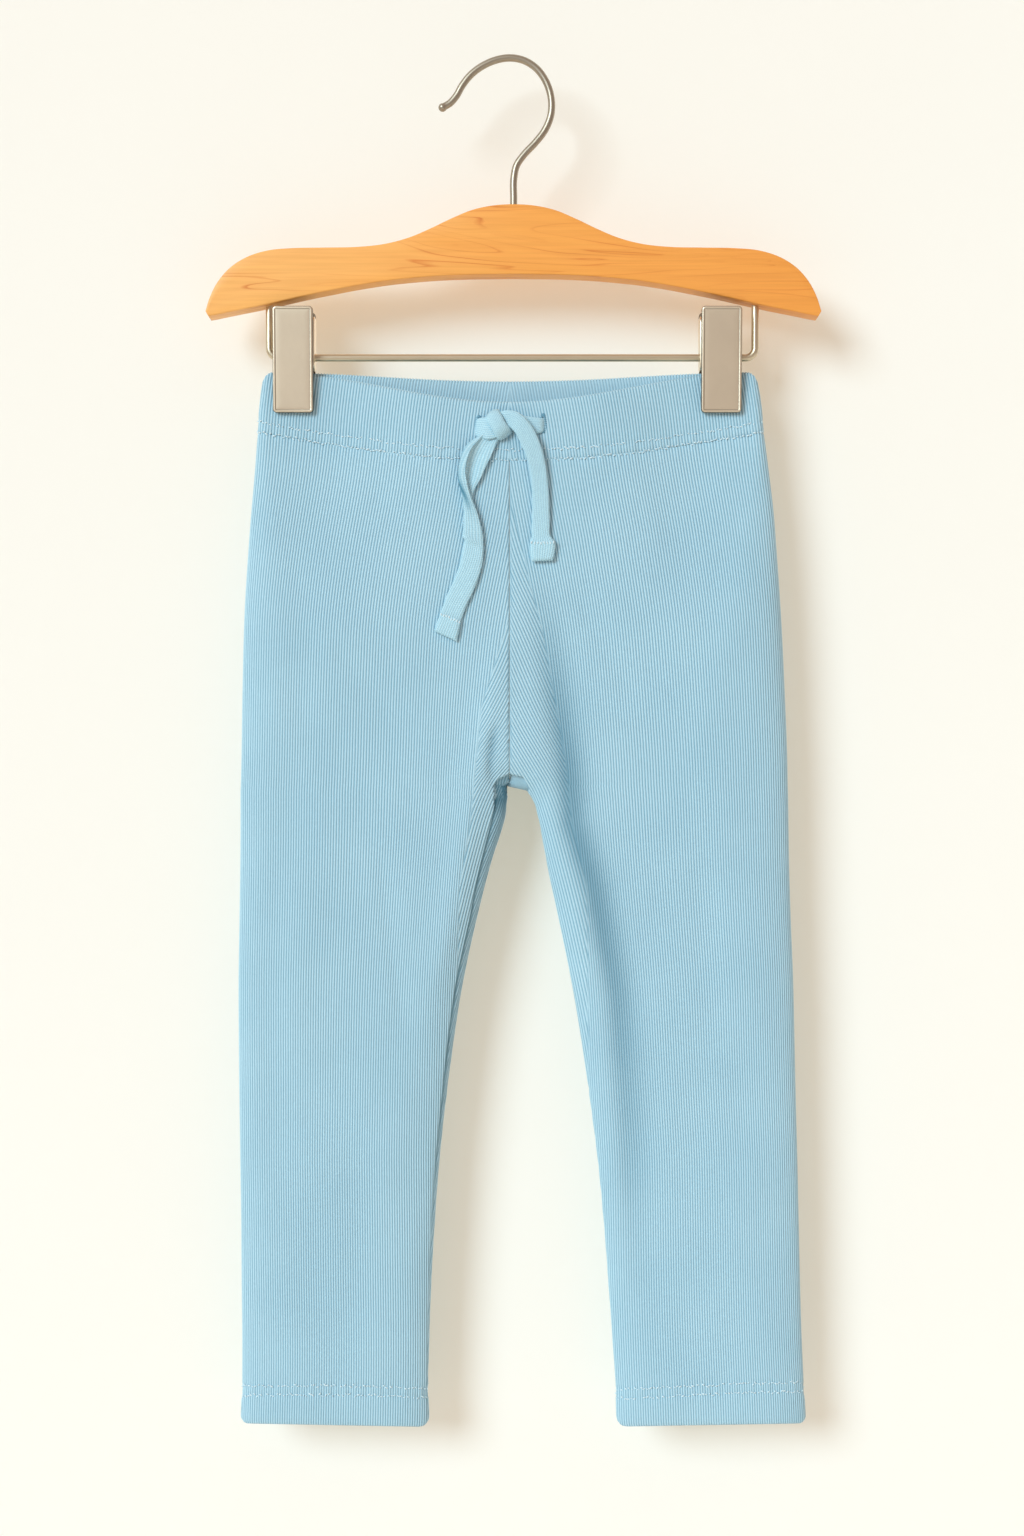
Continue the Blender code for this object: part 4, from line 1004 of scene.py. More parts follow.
RIGHT_TAIL = [
    [(-0.9, -167, 2.9), (-4.6, -159.9, 2.9)],
    [(1.1, -167.6, 4), (-0.9, -159.3, 4.2)],
    [(2.9, -169.7, 4.5), (3, -159.8, 4.9)],
    [(4.6, -172.9, 4.6), (6.4, -161.7, 5)],
    [(6.4, -177, 4.4), (9.8, -165.6, 4.8)],
    [(8.2, -181.6, 4), (12.6, -170.4, 4.4)],
    [(9.6, -187.5, 3.4), (15.1, -177, 3.9)],
    [(10.3, -193.9, 2.8), (16.9, -184.8, 3.3)],
    [(10.5, -200.8, 2.3), (18, -193.9, 2.7)],
    [(10.5, -207.2, 2), (18.5, -202.6, 2.3)],
    [(10.3, -213.1, 1.9), (18.7, -211.3, 2.1)],
    [(10.3, -217.2, 1.9), (19.1, -216.8, 2)],
    [(9.7, -219, 2), (20.6, -218.8, 2.1)],
    [(9.7, -224.5, 2), (21, -224.1, 2.1)],
    [(10.5, -228.4, 1.9), (20.1, -227.9, 2)],
]
KNOT_WRAP = [
    [(-10.1, -162.2, 1.6), (-4.8, -159, 1.6)],
    [(-10.4, -163.1, 3.4), (-4.3, -159.8, 3.7)],
    [(-9.6, -165.1, 4.3), (-3.2, -161.7, 4.9)],
    [(-8.2, -167.6, 4.7), (-2.1, -164, 5.3)],
    [(-6.9, -169.9, 4.4), (-0.7, -166, 4.9)],
    [(-5.7, -171.8, 3.3), (0.7, -167.6, 3.4)],
    [(-5, -172.9, 1.6), (1.4, -168.6, 1.4)],
]
KNOT_ROOT = [  # from the left eyelet to under the wrap
    [(-15.2, -171.1, -0.8), (-14.8, -163.5, -0.8)],
    [(-14.4, -171.5, 0.9), (-13.9, -163, 0.9)],
    [(-12.3, -172.2, 2.1), (-11.9, -162.6, 2.2)],
    [(-9.6, -172.7, 2.9), (-9.6, -162.4, 3.1)],
    [(-6.4, -172, 3), (-6.9, -161.5, 3.2)],
    [(-3.2, -170.2, 2.8), (-4.1, -161, 3)],
]


def four_across(row):
    """A row of a tape given by its two edges, with two more points between them."""
    row = np.array(row, float)
    if len(row) == 4:
        return row
    return row[0] + (row[1] - row[0]) * np.linspace(0.0, 1.0, 4)[:, None]


def tape_grid(table, count):
    """Middle surface of a tape, as rows of points across it, and how much painted shade each point
    gets.
    """
    rows = np.array([four_across(row) for row in table])
    middles = rows.mean(axis=1)
    steps = np.linalg.norm(np.diff(middles, axis=0), axis=1)
    along = np.concatenate([[0.0], np.cumsum(steps)])
    at = np.linspace(0.0, along[-1], count)
    rows = smooth_rows(along, rows, at)
    grid = []
    for row in rows:
        chords = np.linalg.norm(np.diff(row, axis=0), axis=1) + 1e-4
        across = np.concatenate([[0.0], np.cumsum(chords)])
        share = np.linspace(0.0, across[-1], TAPE_ACROSS)
        grid.append(np.stack([smooth_curve(across, row[:, i], share) for i in range(3)], axis=1))
    grid = np.array(grid) * MM
    x, z = grid[..., 0], grid[..., 1]
    lift = grid[..., 2].max(axis=1) - grid[:, 0, 2]
    share = np.linspace(0.0, 1.0, TAPE_ACROSS)
    hollow = np.exp(-(((share - HOLLOW_AT) / HOLLOW_HALF) ** 2))
    shade = np.outer(smoothstep((lift / MM - 1.5) / 0.8), hollow)
    faces = [cloth_point(side, x.ravel(), z.ravel(), FRONT)[0][:, 1] for side in SIDES]
    front = np.where(x < SEAM_X, *(face.reshape(x.shape) for face in faces))
    placed = as_seen(np.stack([x, front - grid[..., 2], z], axis=-1).reshape(-1, 3))
    return placed.reshape(grid.shape), shade


def smooth_rows(keys, rows, at):
    flat = rows.reshape(len(rows), -1)
    made = np.stack([smooth_curve(keys, values, at) for values in flat.T], axis=1)
    return made.reshape(len(at), *rows.shape[1:])


def tape(shell, table, count, turned_end=False, crown=0.0):
    """A flat knitted tape as a closed wall, added to a shell.

    Gives its middle surface, the normals there, and the lengths and thicknesses along it.
    """
    grid, shade = tape_grid(table, count)
    middle = grid.mean(axis=1)
    along = np.concatenate([[0.0], np.cumsum(np.linalg.norm(np.diff(middle, axis=0), axis=1))])
    run, wide = np.gradient(grid, axis=0), np.gradient(grid, axis=1)
    normal = np.cross(wide, run)
    normal /= np.linalg.norm(normal, axis=-1, keepdims=True) + 1e-12
    normal *= np.sign(-normal[:, :, 1].mean())
    share = np.linspace(-1.0, 1.0, TAPE_ACROSS)
    edge = np.sqrt(np.clip(1 - np.abs(share) ** 6, 0.04, 1.0))
    left = along[-1] - along
    thick = np.ones(count)
    if turned_end:
        block = smoothstep((TAPE_END + 0.5 * MM - left) / (1.0 * MM))
        close = np.sqrt(np.clip(1 - (1 - left / TAPE_TIP).clip(0, 1) ** 2, 0.03, 1))
        thick = (1 + TAPE_BLOCK * block) * close
    half = 0.5 * TAPE_THICK * thick[:, None] * edge[None, :]
    bulge = crown * MM * (1 - share**2)[None, :]
    front = grid + normal * (half + bulge)[..., None]
    back = grid + normal * (bulge - half)[..., None]
    rings = np.concatenate([front, back[:, ::-1]], axis=1)
    across = np.concatenate([share, share[::-1]]) * 0.5 * TAPE_W
    # only the front face carries the painted shade of the fold
    dark = np.concatenate([shade, 0 * shade], axis=1)
    shell.loft(rings, along=along, across=[across] * count, shade=dark)
    return grid, normal, along, thick


def end_threads(name, grid, normal, along, thick):
    """Stitches across the top of a tape's turned end."""
    shell = Shell()
    at = int(np.argmin(np.abs(along[-1] - along - TAPE_END + 1.2 * MM)))
    wide = grid[at, -1] - grid[at, 0]
    wide /= np.linalg.norm(wide)
    run = grid[at + 1].mean(axis=0) - grid[at].mean(axis=0)
    run /= np.linalg.norm(run)
    for face in (1.0, -1.0):
        for j in range(1, TAPE_ACROSS - 1, 2):
            out = normal[at, j] * face
            place = grid[at, j] + out * 0.5 * TAPE_THICK * thick[at]
            place = place + run * rng.uniform(-0.3, 0.3) * MM
            way = run + wide * rng.uniform(-0.5, 0.5)
            way = way / np.linalg.norm(way)
            add_thread(shell, place, way, out, 1.4 * MM, 0.36 * MM, 0.12 * MM)
    return shell.mesh_object(name)


# -------- eyelets
EYELETS = {"left": (-13.8, -166.0), "right": (15.6, -165.2)}
EYELET_HALF_H = 3.6
EYELET_HALF_W = 0.55
EYELET_STITCHES = 28


def eyelet(side):
    """A small sewn slit in the waistband: a gap painted dark as shadow, ringed by fine stitches."""
    x0, z0 = EYELETS[side]
    gap, ring = Shell(), Shell()
    for i in range(EYELET_STITCHES):
        a = 2 * math.pi * i / EYELET_STITCHES
        x = x0 + (EYELET_HALF_W + 0.5) * math.cos(a)
        z = z0 + (EYELET_HALF_H + 0.4) * math.sin(a)
        face, normal = cloth_point(side, np.array([x * MM]), np.array([z * MM]), FRONT)
        place = face[0] + normal[0] * 0.22 * MM
        outward = np.array([math.cos(a), 0.0, 0.35 * math.sin(a)])
        outward /= np.linalg.norm(outward)
        add_thread(ring, as_seen([place])[0], outward, normal[0], 1.5 * MM, 0.22 * MM, 0.12 * MM)
    rims = []
    around = np.linspace(0.0, 2 * math.pi, 20, endpoint=False)
    for lift, share in ((-1.4, 0.6), (0.28, 1.0), (0.34, 0.6)):
        x = (x0 + EYELET_HALF_W * share * np.cos(around)) * MM
        z = (z0 + EYELET_HALF_H * share * np.sin(around)) * MM
        face, normal = cloth_point(side, x, z, FRONT)
        rims.append(as_seen(face + normal * lift * MM))
    gap.loft(rims)
    return ring.mesh_object("eyelet_stitches_" + side), gap.mesh_object("eyelet_gap_" + side)


# -------- hanger
HANGER_X = 2.0 * MM
BAR_HALF = 6.0 * MM
BAR_EASE = 0.75 * MM
WIRE_R = 1.65 * MM
ROD_R = 1.7 * MM
ROD_X = 1.5 * MM
ROD_HALF = 110.9 * MM
ROD_Z = -135.4 * MM
ROD_BEND = 4.5 * MM
ROD_TOP_Z = -103.0 * MM
BarRow = namedtuple("BarRow", "top_x top_z low_x low_z")
BAR_ROWS = [BarRow(*row) for row in (
    (0, -66.4, 0, -98.3), (8.9, -66.9, 8.5, -98.4),
    (18.5, -68.9, 17.5, -98.5), (28.5, -73, 27.5, -98.8),
    (38.1, -77.6, 37, -99.3), (47.7, -81.6, 46.5, -100.1),
    (59.6, -84.6, 57.5, -101.3), (70, -85.7, 67.5, -102.8),
    (87, -86.1, 82, -105.5), (101.6, -86.4, 95.5, -108.3),
    (111.2, -87.3, 105.5, -110.6), (121.2, -90.4, 115.5, -112.8),
    (129, -95.4, 124, -114.5), (134.7, -102.1, 130.5, -115.8),
    (138.1, -108.9, 135.2, -116.8), (140, -115, 138.6, -117.4),
)]
HOOK_ROUTE = [
    (2.15, -80), (2.15, -72), (2.15, -62), (2.2, -53.5),
    (3.4, -47.6), (6.8, -42.6), (11.7, -37.4), (16.4, -31.3),
    (19.2, -24), (19.2, -16.2), (16.6, -8.6), (11.9, -2.6),
    (5.9, 0.8), (0, 1.65), (-6.2, 0.6), (-12.4, -2.2), (-17.4, -6),
    (-21.4, -11), (-24.2, -15.9), (-27.2, -19.2), (-29.4, -20.5),
]
HOOK_BALL_R = 1.95 * MM


def bar_ring(top, low):
    """Ring of points round the bar, with eased edges, through one pair of edge points."""
    down = low - top
    length = np.hypot(*down)
    down = down / length
    ease = min(BAR_EASE, 0.4 * length)
    ring = []
    for corner_y, at_foot in ((-1, 0), (-1, 1), (1, 1), (1, 0)):
        turns = np.radians([0.0, 22.5, 45.0, 67.5, 90.0])
        before_face = (corner_y > 0) == bool(at_foot)
        if before_face:
            turns = turns[::-1]
        for turn in turns:
            y = corner_y * (BAR_HALF - ease + ease * math.cos(turn))
            rise = ease * math.sin(turn)
            reach = length - ease + rise if at_foot else ease - rise
            place = top + down * reach
            ring.append((place[0], y, place[1]))
        if before_face:
            for share in (0.25, 0.5, 0.75):
                reach = ease + (length - 2 * ease) * (share if corner_y < 0 else 1 - share)
                place = top + down * reach
                ring.append((place[0], corner_y * BAR_HALF, place[1]))
    return ring


def bar():
    rows = np.array(BAR_ROWS)
    mirrored = rows * (-1, 1, -1, 1)
    rows = spline_points(np.concatenate([mirrored[:0:-1], rows]), 170) * MM
    shift = np.array([HANGER_X, 0.0])
    shell = Shell()
    shell.loft([bar_ring(row[:2] + shift, row[2:] + shift) for row in rows])
    return shell.mesh_object("bar_wood", sharp=50)


def tube(name, points, radii, sides=20):
    """A round wire along points in the plane of the hanger, with rounded ends."""
    points, radii = np.asarray(points, float), np.asarray(radii, float)
    run = np.gradient(points, axis=0)
    run /= np.linalg.norm(run, axis=1, keepdims=True)
    across = np.array([0.0, 1.0, 0.0])
    angles = np.linspace(0.0, 2 * math.pi, sides, endpoint=False)
    shell = Shell()
    rings = []
    for point, way, radius in zip(points, run, radii):
        upward = np.cross(way, across)
        ring = np.outer(np.cos(angles), across) + np.outer(np.sin(angles), upward)
        rings.append(point + radius * ring)
    shell.loft(rings)
    return shell.mesh_object(name, sharp=50)


def hook():
    route = spline_points(HOOK_ROUTE, 110) * MM
    points = np.stack([route[:, 0], np.zeros(len(route)), route[:, 1]], axis=1)
    end, way = points[-1], points[-1] - points[-2]
    way = way / np.linalg.norm(way)
    turns = np.linspace(math.asin(WIRE_R / HOOK_BALL_R), math.pi - 0.1, 12)
    reach = [end + way * HOOK_BALL_R * (math.cos(turns[0]) - math.cos(t)) for t in turns]
    radii = [WIRE_R] * len(points) + [HOOK_BALL_R * math.sin(t) for t in turns[1:]]
    return tube("hook_wire", np.concatenate([points, reach[1:]]), radii)


def rod():
    bend = [
        (ROD_HALF - ROD_BEND + ROD_BEND * math.sin(a), ROD_Z + ROD_BEND - ROD_BEND * math.cos(a))
        for a in np.linspace(0.0, 0.5 * math.pi, 12)
    ]
    right = bend + [(ROD_HALF, z) for z in np.linspace(ROD_Z + ROD_BEND, ROD_TOP_Z, 6)[1:]]
    left = [(-x, z) for x, z in reversed(right)]
    points = [(ROD_X + x, 0.0, z) for x, z in left + right]
    return tube("rod_wire", points, [ROD_R] * len(points))


CLIP_W = 18.3 * MM
CLIP_TOP_Z = -113.1 * MM
CLIP_BOTTOM_Z = -161.0 * MM
CLIP_RIM = 2.6 * MM
CLIP_CORNER = 1.7 * MM
CLIP_LEAN = math.radians(5.0)
CLIP_CENTRES = {"left": -98.1 * MM, "right": 96.5 * MM}
CLIP_GRIP = 3.52 * MM
CHEEK_TOP_Z = -116.7 * MM
CHEEK_BOTTOM_Z = -141.0 * MM
CHEEK_DEEP = 11.2 * MM
CHEEK_INNER = 9.0 * MM
CHEEK_OUTER = 6.4 * MM
# Rings of a jaw's pressed plate, from the middle of its face over the rim to the middle of its
# hollow side: distance in from the edge and depth behind the face, in millimetres, and how much
# painted shade darkens the metal there, in the groove and round the rim.
JAW_RINGS = [
    (4.0, 0.17, 0.0), (1.9, 0.17, 0.0), (1.5, 0.2, 0.1), (1.3, 0.22, 0.75), (1.05, 0.02, 0.1),
    (0.9, 0.0, 0.0), (0.55, 0.0, 0.0), (0.3, 0.08, 0.25), (0.08, 0.3, 0.85), (0.0, 0.55, 1.0),
    (0.0, 2.45, 0.9), (0.1, 2.6, 0.8), (0.8, 2.6, 0.5), (0.9, 2.45, 0.5), (0.9, 1.1, 0.5),
    (1.2, 0.9, 0.3), (4.0, 0.9, 0.3),
]


def rounded_ring(width, low, high, corner, inset):
    """Corner-rounded rectangle in the XZ plane, drawn in by an inset."""
    corner = max(corner - inset, 0.15 * MM)
    half = 0.5 * width - inset - corner
    bottom, top = low + inset + corner, high - inset - corner
    ring = []
    corners = ((half, top, 0), (-half, top, 90), (-half, bottom, 180), (half, bottom, 270))
    for x, z, start in corners:
        for turn in (0.0, 22.5, 45.0, 67.5, 90.0):
            angle = math.radians(start + turn)
            ring.append((x + corner * math.cos(angle), z + corner * math.sin(angle)))
    return np.array(ring)


def jaw(side, facing):
    """A pressed steel jaw, leaning in to grip the waistband."""
    height = CLIP_TOP_Z - CLIP_BOTTOM_Z
    shell = Shell()
    rings = []
    for inset, deep, _ in JAW_RINGS:
        ring = rounded_ring(CLIP_W, 0.0, height, CLIP_CORNER, inset * MM)
        y = np.full(len(ring), facing * (CLIP_RIM - deep * MM))
        rings.append(np.stack([ring[:, 0], y, ring[:, 1]], axis=1))
    # painted shade in the groove and round the rim of the plate
    shell.loft(rings, rim=[dark for _, _, dark in JAW_RINGS])
    lean = -facing * CLIP_LEAN
    for i, (x, y, z) in enumerate(shell.points):
        shell.points[i] = [
            CLIP_CENTRES[side] + x,
            facing * CLIP_GRIP + y * math.cos(lean) - z * math.sin(lean),
            CLIP_BOTTOM_Z + y * math.sin(lean) + z * math.cos(lean),
        ]
    face = "front" if facing == FRONT else "back"
    return shell.mesh_object("jaw_{}_{}".format(side, face), sharp=45)


def cheek(side, end):
    """One side cheek of a clip, which the rod runs through."""
    inward = 1 if CLIP_CENTRES[side] < 0 else -1
    offset = CHEEK_INNER if end == "inner" else -CHEEK_OUTER
    x0 = CLIP_CENTRES[side] + inward * offset
    shell = Shell()
    rings = []
    for inset, lift in ((0.25, -0.45), (0.0, -0.2), (0.0, 0.2), (0.25, 0.45)):
        ring = rounded_ring(CHEEK_DEEP, CHEEK_BOTTOM_Z, CHEEK_TOP_Z, 3.0 * MM, inset * MM)
        y = ring[:, 0] + 0.5 * CHEEK_DEEP - CLIP_GRIP
        rings.append(np.stack([np.full(len(ring), x0 + lift * MM), y, ring[:, 1]], axis=1))
    shell.loft(rings)
    return shell.mesh_object("cheek_{}_{}".format(side, end), sharp=45)


# -------- finishes
class Finish:
    """A node material built up around one Principled shader."""

    def __init__(self, name, **sockets):
        self.material = bpy.data.materials.new(name)
        self.material.use_nodes = True
        self.tree = self.material.node_tree
        self.shader = self.tree.nodes["Principled BSDF"]
        for socket, value in sockets.items():
            self.shader.inputs[socket.replace("_", " ")].default_value = value

    def node(self, kind, settings=None, **sockets):
        made = self.tree.nodes.new(kind)
        for name, value in (settings or {}).items():
            setattr(made, name, value)
        for name, value in sockets.items():
            self.feed(made, name.replace("_", " "), value)
        return made

    def feed(self, node, socket, value):
        if isinstance(value, bpy.types.NodeSocket):
            self.tree.links.new(value, node.inputs[socket])
        else:
            node.inputs[socket].default_value = value

    def math(self, operation, a, b=0.0):
        made = self.tree.nodes.new("ShaderNodeMath")
        made.operation = operation
        self.feed(made, 0, a)
        self.feed(made, 1, b)
        return made.outputs[0]

    def mix(self, share, a, b, blend="MIX"):
        made = self.tree.nodes.new("ShaderNodeMix")
        made.data_type = "RGBA"
        made.blend_type = blend
        self.feed(made, 0, share)
        self.feed(made, 6, a)
        self.feed(made, 7, b)
        return made.outputs[2]

    def value(self, name):
        return self.node("ShaderNodeAttribute", {"attribute_name": name}).outputs["Fac"]

    def place(self, **scales):
        coordinates = self.node("ShaderNodeTexCoord").outputs["Object"]
        return self.node("ShaderNodeMapping", Vector=coordinates, **scales).outputs[0]

    def noise(self, scale, stretch=(1.0, 1.0, 1.0), detail=2.0, rough=0.5):
        vector = self.place(Scale=stretch)
        made = self.node(
            "ShaderNodeTexNoise", Vector=vector, Scale=scale, Detail=detail, Roughness=rough
        )
        return made.outputs["Fac"]

    def ramp(self, value, stops):
        made = self.node("ShaderNodeValToRGB", Fac=value)
        ramp = made.color_ramp
        while len(ramp.elements) < len(stops):
            ramp.elements.new(0.5)
        for element, (at, colour) in zip(ramp.elements, stops):
            element.position = at
            element.color = (*colour, 1.0)
        return made.outputs["Color"]

    def bump(self, height, distance, strength=1.0, under=None):
        made = self.node(
            "ShaderNodeBump", Height=height, Distance=distance, Strength=strength
        )
        if under:
            self.feed(made, "Normal", under)
        self.feed(self.shader, "Normal", made.outputs[0])
        return made.outputs[0]


def linear(*srgb):
    """A colour given as 0 to 255 in sRGB."""
    return tuple(
        v / 12.92 if v <= 0.04045 else ((v + 0.055) / 1.055) ** 2.4 for v in (c / 255 for c in srgb)
    )


KNIT_CREST = linear(197, 227, 238)
# colour of the painted shade in the ribs' valleys
KNIT_VALLEY_SHADED = linear(117, 165, 187)
# colour of the painted shade in creases, seams and folds
KNIT_CREASE_SHADE = linear(72, 124, 146)


def rib_knit():
    """Fine rib knit: paler crests, valleys and creases darkened by painted shade, small loops along
    each rib and a soft fuzz.
    """
    f = Finish("rib_knit_cloth", Roughness=0.88, Sheen_Weight=0.12, Sheen_Roughness=0.5)
    f.shader.inputs["Specular IOR Level"].default_value = 0.2
    # painted shade: the ribs' valleys get the darker colour
    ribs = f.mix(f.value("rib"), (*KNIT_VALLEY_SHADED, 1.0), (*KNIT_CREST, 1.0))
    worn = f.ramp(f.noise(28.0, detail=3.0), [(0.3, (0.93, 0.95, 0.96)), (0.7, (1.0, 1.0, 1.0))])
    ribs = f.mix(1.0, ribs, worn, "MULTIPLY")
    fleck = f.ramp(f.noise(1500.0, (1.0, 1.0, 0.6), 2.0), [
        (0.3, (0.94, 0.95, 0.96)), (0.7, (1.02, 1.02, 1.02)),
    ])
    ribs = f.mix(1.0, ribs, fleck, "MULTIPLY")
    # painted shade in creases, seams, the crotch recess and deep folds
    colour = f.mix(f.value("crease"), ribs, (*KNIT_CREASE_SHADE, 1.0))
    f.feed(f.shader, "Base Color", colour)
    f.bump(f.noise(1400.0, (1.0, 1.0, 0.55), 3.0), 0.0001, 0.4)
    return f.material


def tape_knit():
    """The drawstring's knit: fine wales along the tape, crossed by finer courses."""
    f = Finish("tape_knit_cloth", Roughness=0.85, Sheen_Weight=0.12, Sheen_Roughness=0.5)
    f.shader.inputs["Specular IOR Level"].default_value = 0.2
    across = f.math("ABSOLUTE", f.value("across"))
    path = f.math("ADD", f.value("along"), f.math("MULTIPLY", across, 0.5))
    wave = f.math("SINE", f.math("MULTIPLY", path, 2 * math.pi / 0.0010))
    lean = f.math("ADD", f.value("across"), f.math("MULTIPLY", f.value("along"), 0.08))
    rails = f.math("SINE", f.math("MULTIPLY", lean, 2 * math.pi / 0.00095))
    both = f.math("ADD", f.math("MULTIPLY", rails, 0.27), f.math("MULTIPLY", wave, 0.13))
    weave = f.math("ADD", both, 0.5)
    colour = f.mix(weave, (*linear(158, 203, 220), 1.0), (*linear(204, 236, 246), 1.0))
    # painted shade inside the folded tape
    colour = f.mix(f.value("shade"), colour, (*linear(78, 138, 162), 1.0))
    fleck = f.ramp(f.noise(1300.0), [(0.3, (0.9, 0.92, 0.94)), (0.7, (1.04, 1.03, 1.02))])
    f.feed(f.shader, "Base Color", f.mix(1.0, colour, fleck, "MULTIPLY"))
    under = f.bump(weave, 0.0003, 0.8)
    f.bump(f.noise(2600.0, detail=3.0), 0.00012, 0.5, under)
    return f.material


def thread():
    f = Finish("sewing_thread", Roughness=0.7, Sheen_Weight=0.1)
    twist = f.noise(3000.0)
    colour = f.ramp(twist, [(0.3, linear(190, 222, 234)), (0.7, linear(238, 248, 251))])
    f.feed(f.shader, "Base Color", colour)
    f.bump(twist, 0.0001, 0.6)
    return f.material


def shadow_gap():
    # painted shadow: the sunk inside of the slit is coloured dark
    f = Finish("eyelet_inside_shadow", Roughness=0.95)
    f.feed(f.shader, "Base Color", f.ramp(
        f.noise(900.0), [(0.3, linear(30, 44, 52)), (0.7, linear(52, 72, 82))]
    ))
    return f.material


def wood():
    """Stained wood with long uneven grain along the bar."""
    f = Finish("bar_wood_finish", Roughness=0.42, Coat_Weight=0.12, Coat_Roughness=0.3)
    grain = f.node(
        "ShaderNodeTexNoise", Vector=f.place(Scale=(4.5, 30.0, 52.0)), Scale=1.0, Detail=2.0,
        Roughness=0.45, Distortion=1.1,
    ).outputs["Fac"]
    along = f.node("ShaderNodeSeparateXYZ", Vector=f.place(Scale=(3.4, 1.0, 1.0))).outputs["X"]
    along = f.math("ADD", f.math("ADD", along, 0.3), f.math("MULTIPLY", grain, 0.4))
    # The tone runs paler at the left end of the bar and darker towards the right.
    tone = f.ramp(along, [
        (0.15, linear(255, 186, 100)), (0.5, linear(251, 170, 76)), (0.95, linear(245, 160, 66)),
    ])
    rings = f.math("FRACT", f.math("MULTIPLY", grain, 9.0))
    streak = f.ramp(rings, [
        (0.0, (0.0, 0.0, 0.0)), (0.36, (0.1, 0.1, 0.1)), (0.48, (1.0, 1.0, 1.0)),
        (0.53, (0.15, 0.15, 0.15)), (1.0, (0.0, 0.0, 0.0)),
    ])
    patchy = f.ramp(f.noise(1.0, (9.0, 20.0, 60.0), 2.0), [
        (0.42, (0.15, 0.15, 0.15)), (0.62, (1.0, 1.0, 1.0)),
    ])
    lines = f.mix(1.0, streak, patchy, "MULTIPLY")
    streaks = f.mix(lines, tone, (*linear(222, 124, 42), 1.0))
    fine = f.ramp(f.noise(1.0, (26.0, 600.0, 800.0), 3.0), [
        (0.35, (0.94, 0.91, 0.87)), (0.6, (1.0, 1.0, 1.0)),
    ])
    f.feed(f.shader, "Base Color", f.mix(1.0, streaks, fine, "MULTIPLY"))
    rough = f.math("ADD", f.math("MULTIPLY", grain, 0.2), 0.34)
    f.feed(f.shader, "Roughness", rough)
    f.bump(f.noise(1.0, (60.0, 900.0, 1100.0), 3.0), 0.0001, 0.35)
    return f.material


def nickel(name, colour, rough):
    """Satin nickel: fine streaks in its shine, faint clouds, and painted shade in grooves and at
    rims.
    """
    f = Finish(name, Metallic=1.0)
    patches = f.ramp(f.noise(90.0, detail=2.0), [
        (0.3, tuple(0.96 * c for c in colour)), (0.7, colour),
    ])
    # painted shade: the rim attribute darkens grooves and rims towards dark brown
    f.feed(f.shader, "Base Color", f.mix(f.value("rim"), patches, (0.09, 0.065, 0.045, 1.0)))
    streaks = f.noise(1.0, (700.0, 700.0, 6000.0), 3.0)
    f.feed(f.shader, "Roughness", f.math("ADD", f.math("MULTIPLY", streaks, 0.12), rough))
    f.bump(f.noise(3500.0, detail=2.0), 0.00003, 0.4)
    return f.material


# -------- room and light
WALL_Y = 30.0 * MM
FLOOR_Z = -1.1
WALL_TOP_Z = 1.2
ROOM_HALF = 2.5
FLOOR_HALF = 3.0


def plane(name, low, high, finish):
    """One rectangle of the stage, level or upright, between two opposite corners."""
    corners = [low, (high[0], low[1], low[2]), high, (low[0], high[1], high[2])]
    mesh = bpy.data.meshes.new(name)
    mesh.from_pydata(corners, [], [(0, 1, 2, 3)])
    obj = bpy.data.objects.new(name, mesh)
    bpy.context.scene.collection.objects.link(obj)
    mesh.materials.append(finish)
    return obj


def plaster(name, colour, one_sided):
    """Matt paint. One-sided: unseen from behind, casting no shadow, and glowing as painted light.
    """
    f = Finish(name, Roughness=0.9)
    f.shader.inputs["Specular IOR Level"].default_value = 0.1
    f.feed(f.shader, "Base Color", f.ramp(
        f.noise(6.0), [(0.2, tuple(0.985 * c for c in colour)), (0.8, colour)]
    ))
    if one_sided:
        # painted light: a faint warm glow from the wall itself, though it is no lamp
        f.shader.inputs["Emission Color"].default_value = (1.0, 0.8, 0.52, 1.0)
        f.shader.inputs["Emission Strength"].default_value = 0.29
        behind = f.node("ShaderNodeNewGeometry").outputs["Backfacing"]
        shadow = f.node("ShaderNodeLightPath").outputs["Is Shadow Ray"]
        either = f.math("MAXIMUM", behind, shadow)
        clear = f.node("ShaderNodeBsdfTransparent").outputs[0]
        mixed = f.node("ShaderNodeMixShader")
        f.feed(mixed, 0, either)
        f.feed(mixed, 1, f.shader.outputs[0])
        f.feed(mixed, 2, clear)
        f.feed(f.tree.nodes["Material Output"], "Surface", mixed.outputs[0])
    return f.material


def lamp(name, way, spread, strength, colour):
    """A wide soft light from far off, shining along `way`."""
    data = bpy.data.lights.new(name, "SUN")
    data.angle = math.radians(spread)
    data.energy = strength
    data.color = colour
    obj = bpy.data.objects.new(name, data)
    obj.location = -np.array(way)
    flat = math.hypot(way[0], way[1])
    obj.rotation_euler = (math.atan2(flat, -way[2]), 0.0, math.atan2(-way[0], way[1]))
    bpy.context.scene.collection.objects.link(obj)


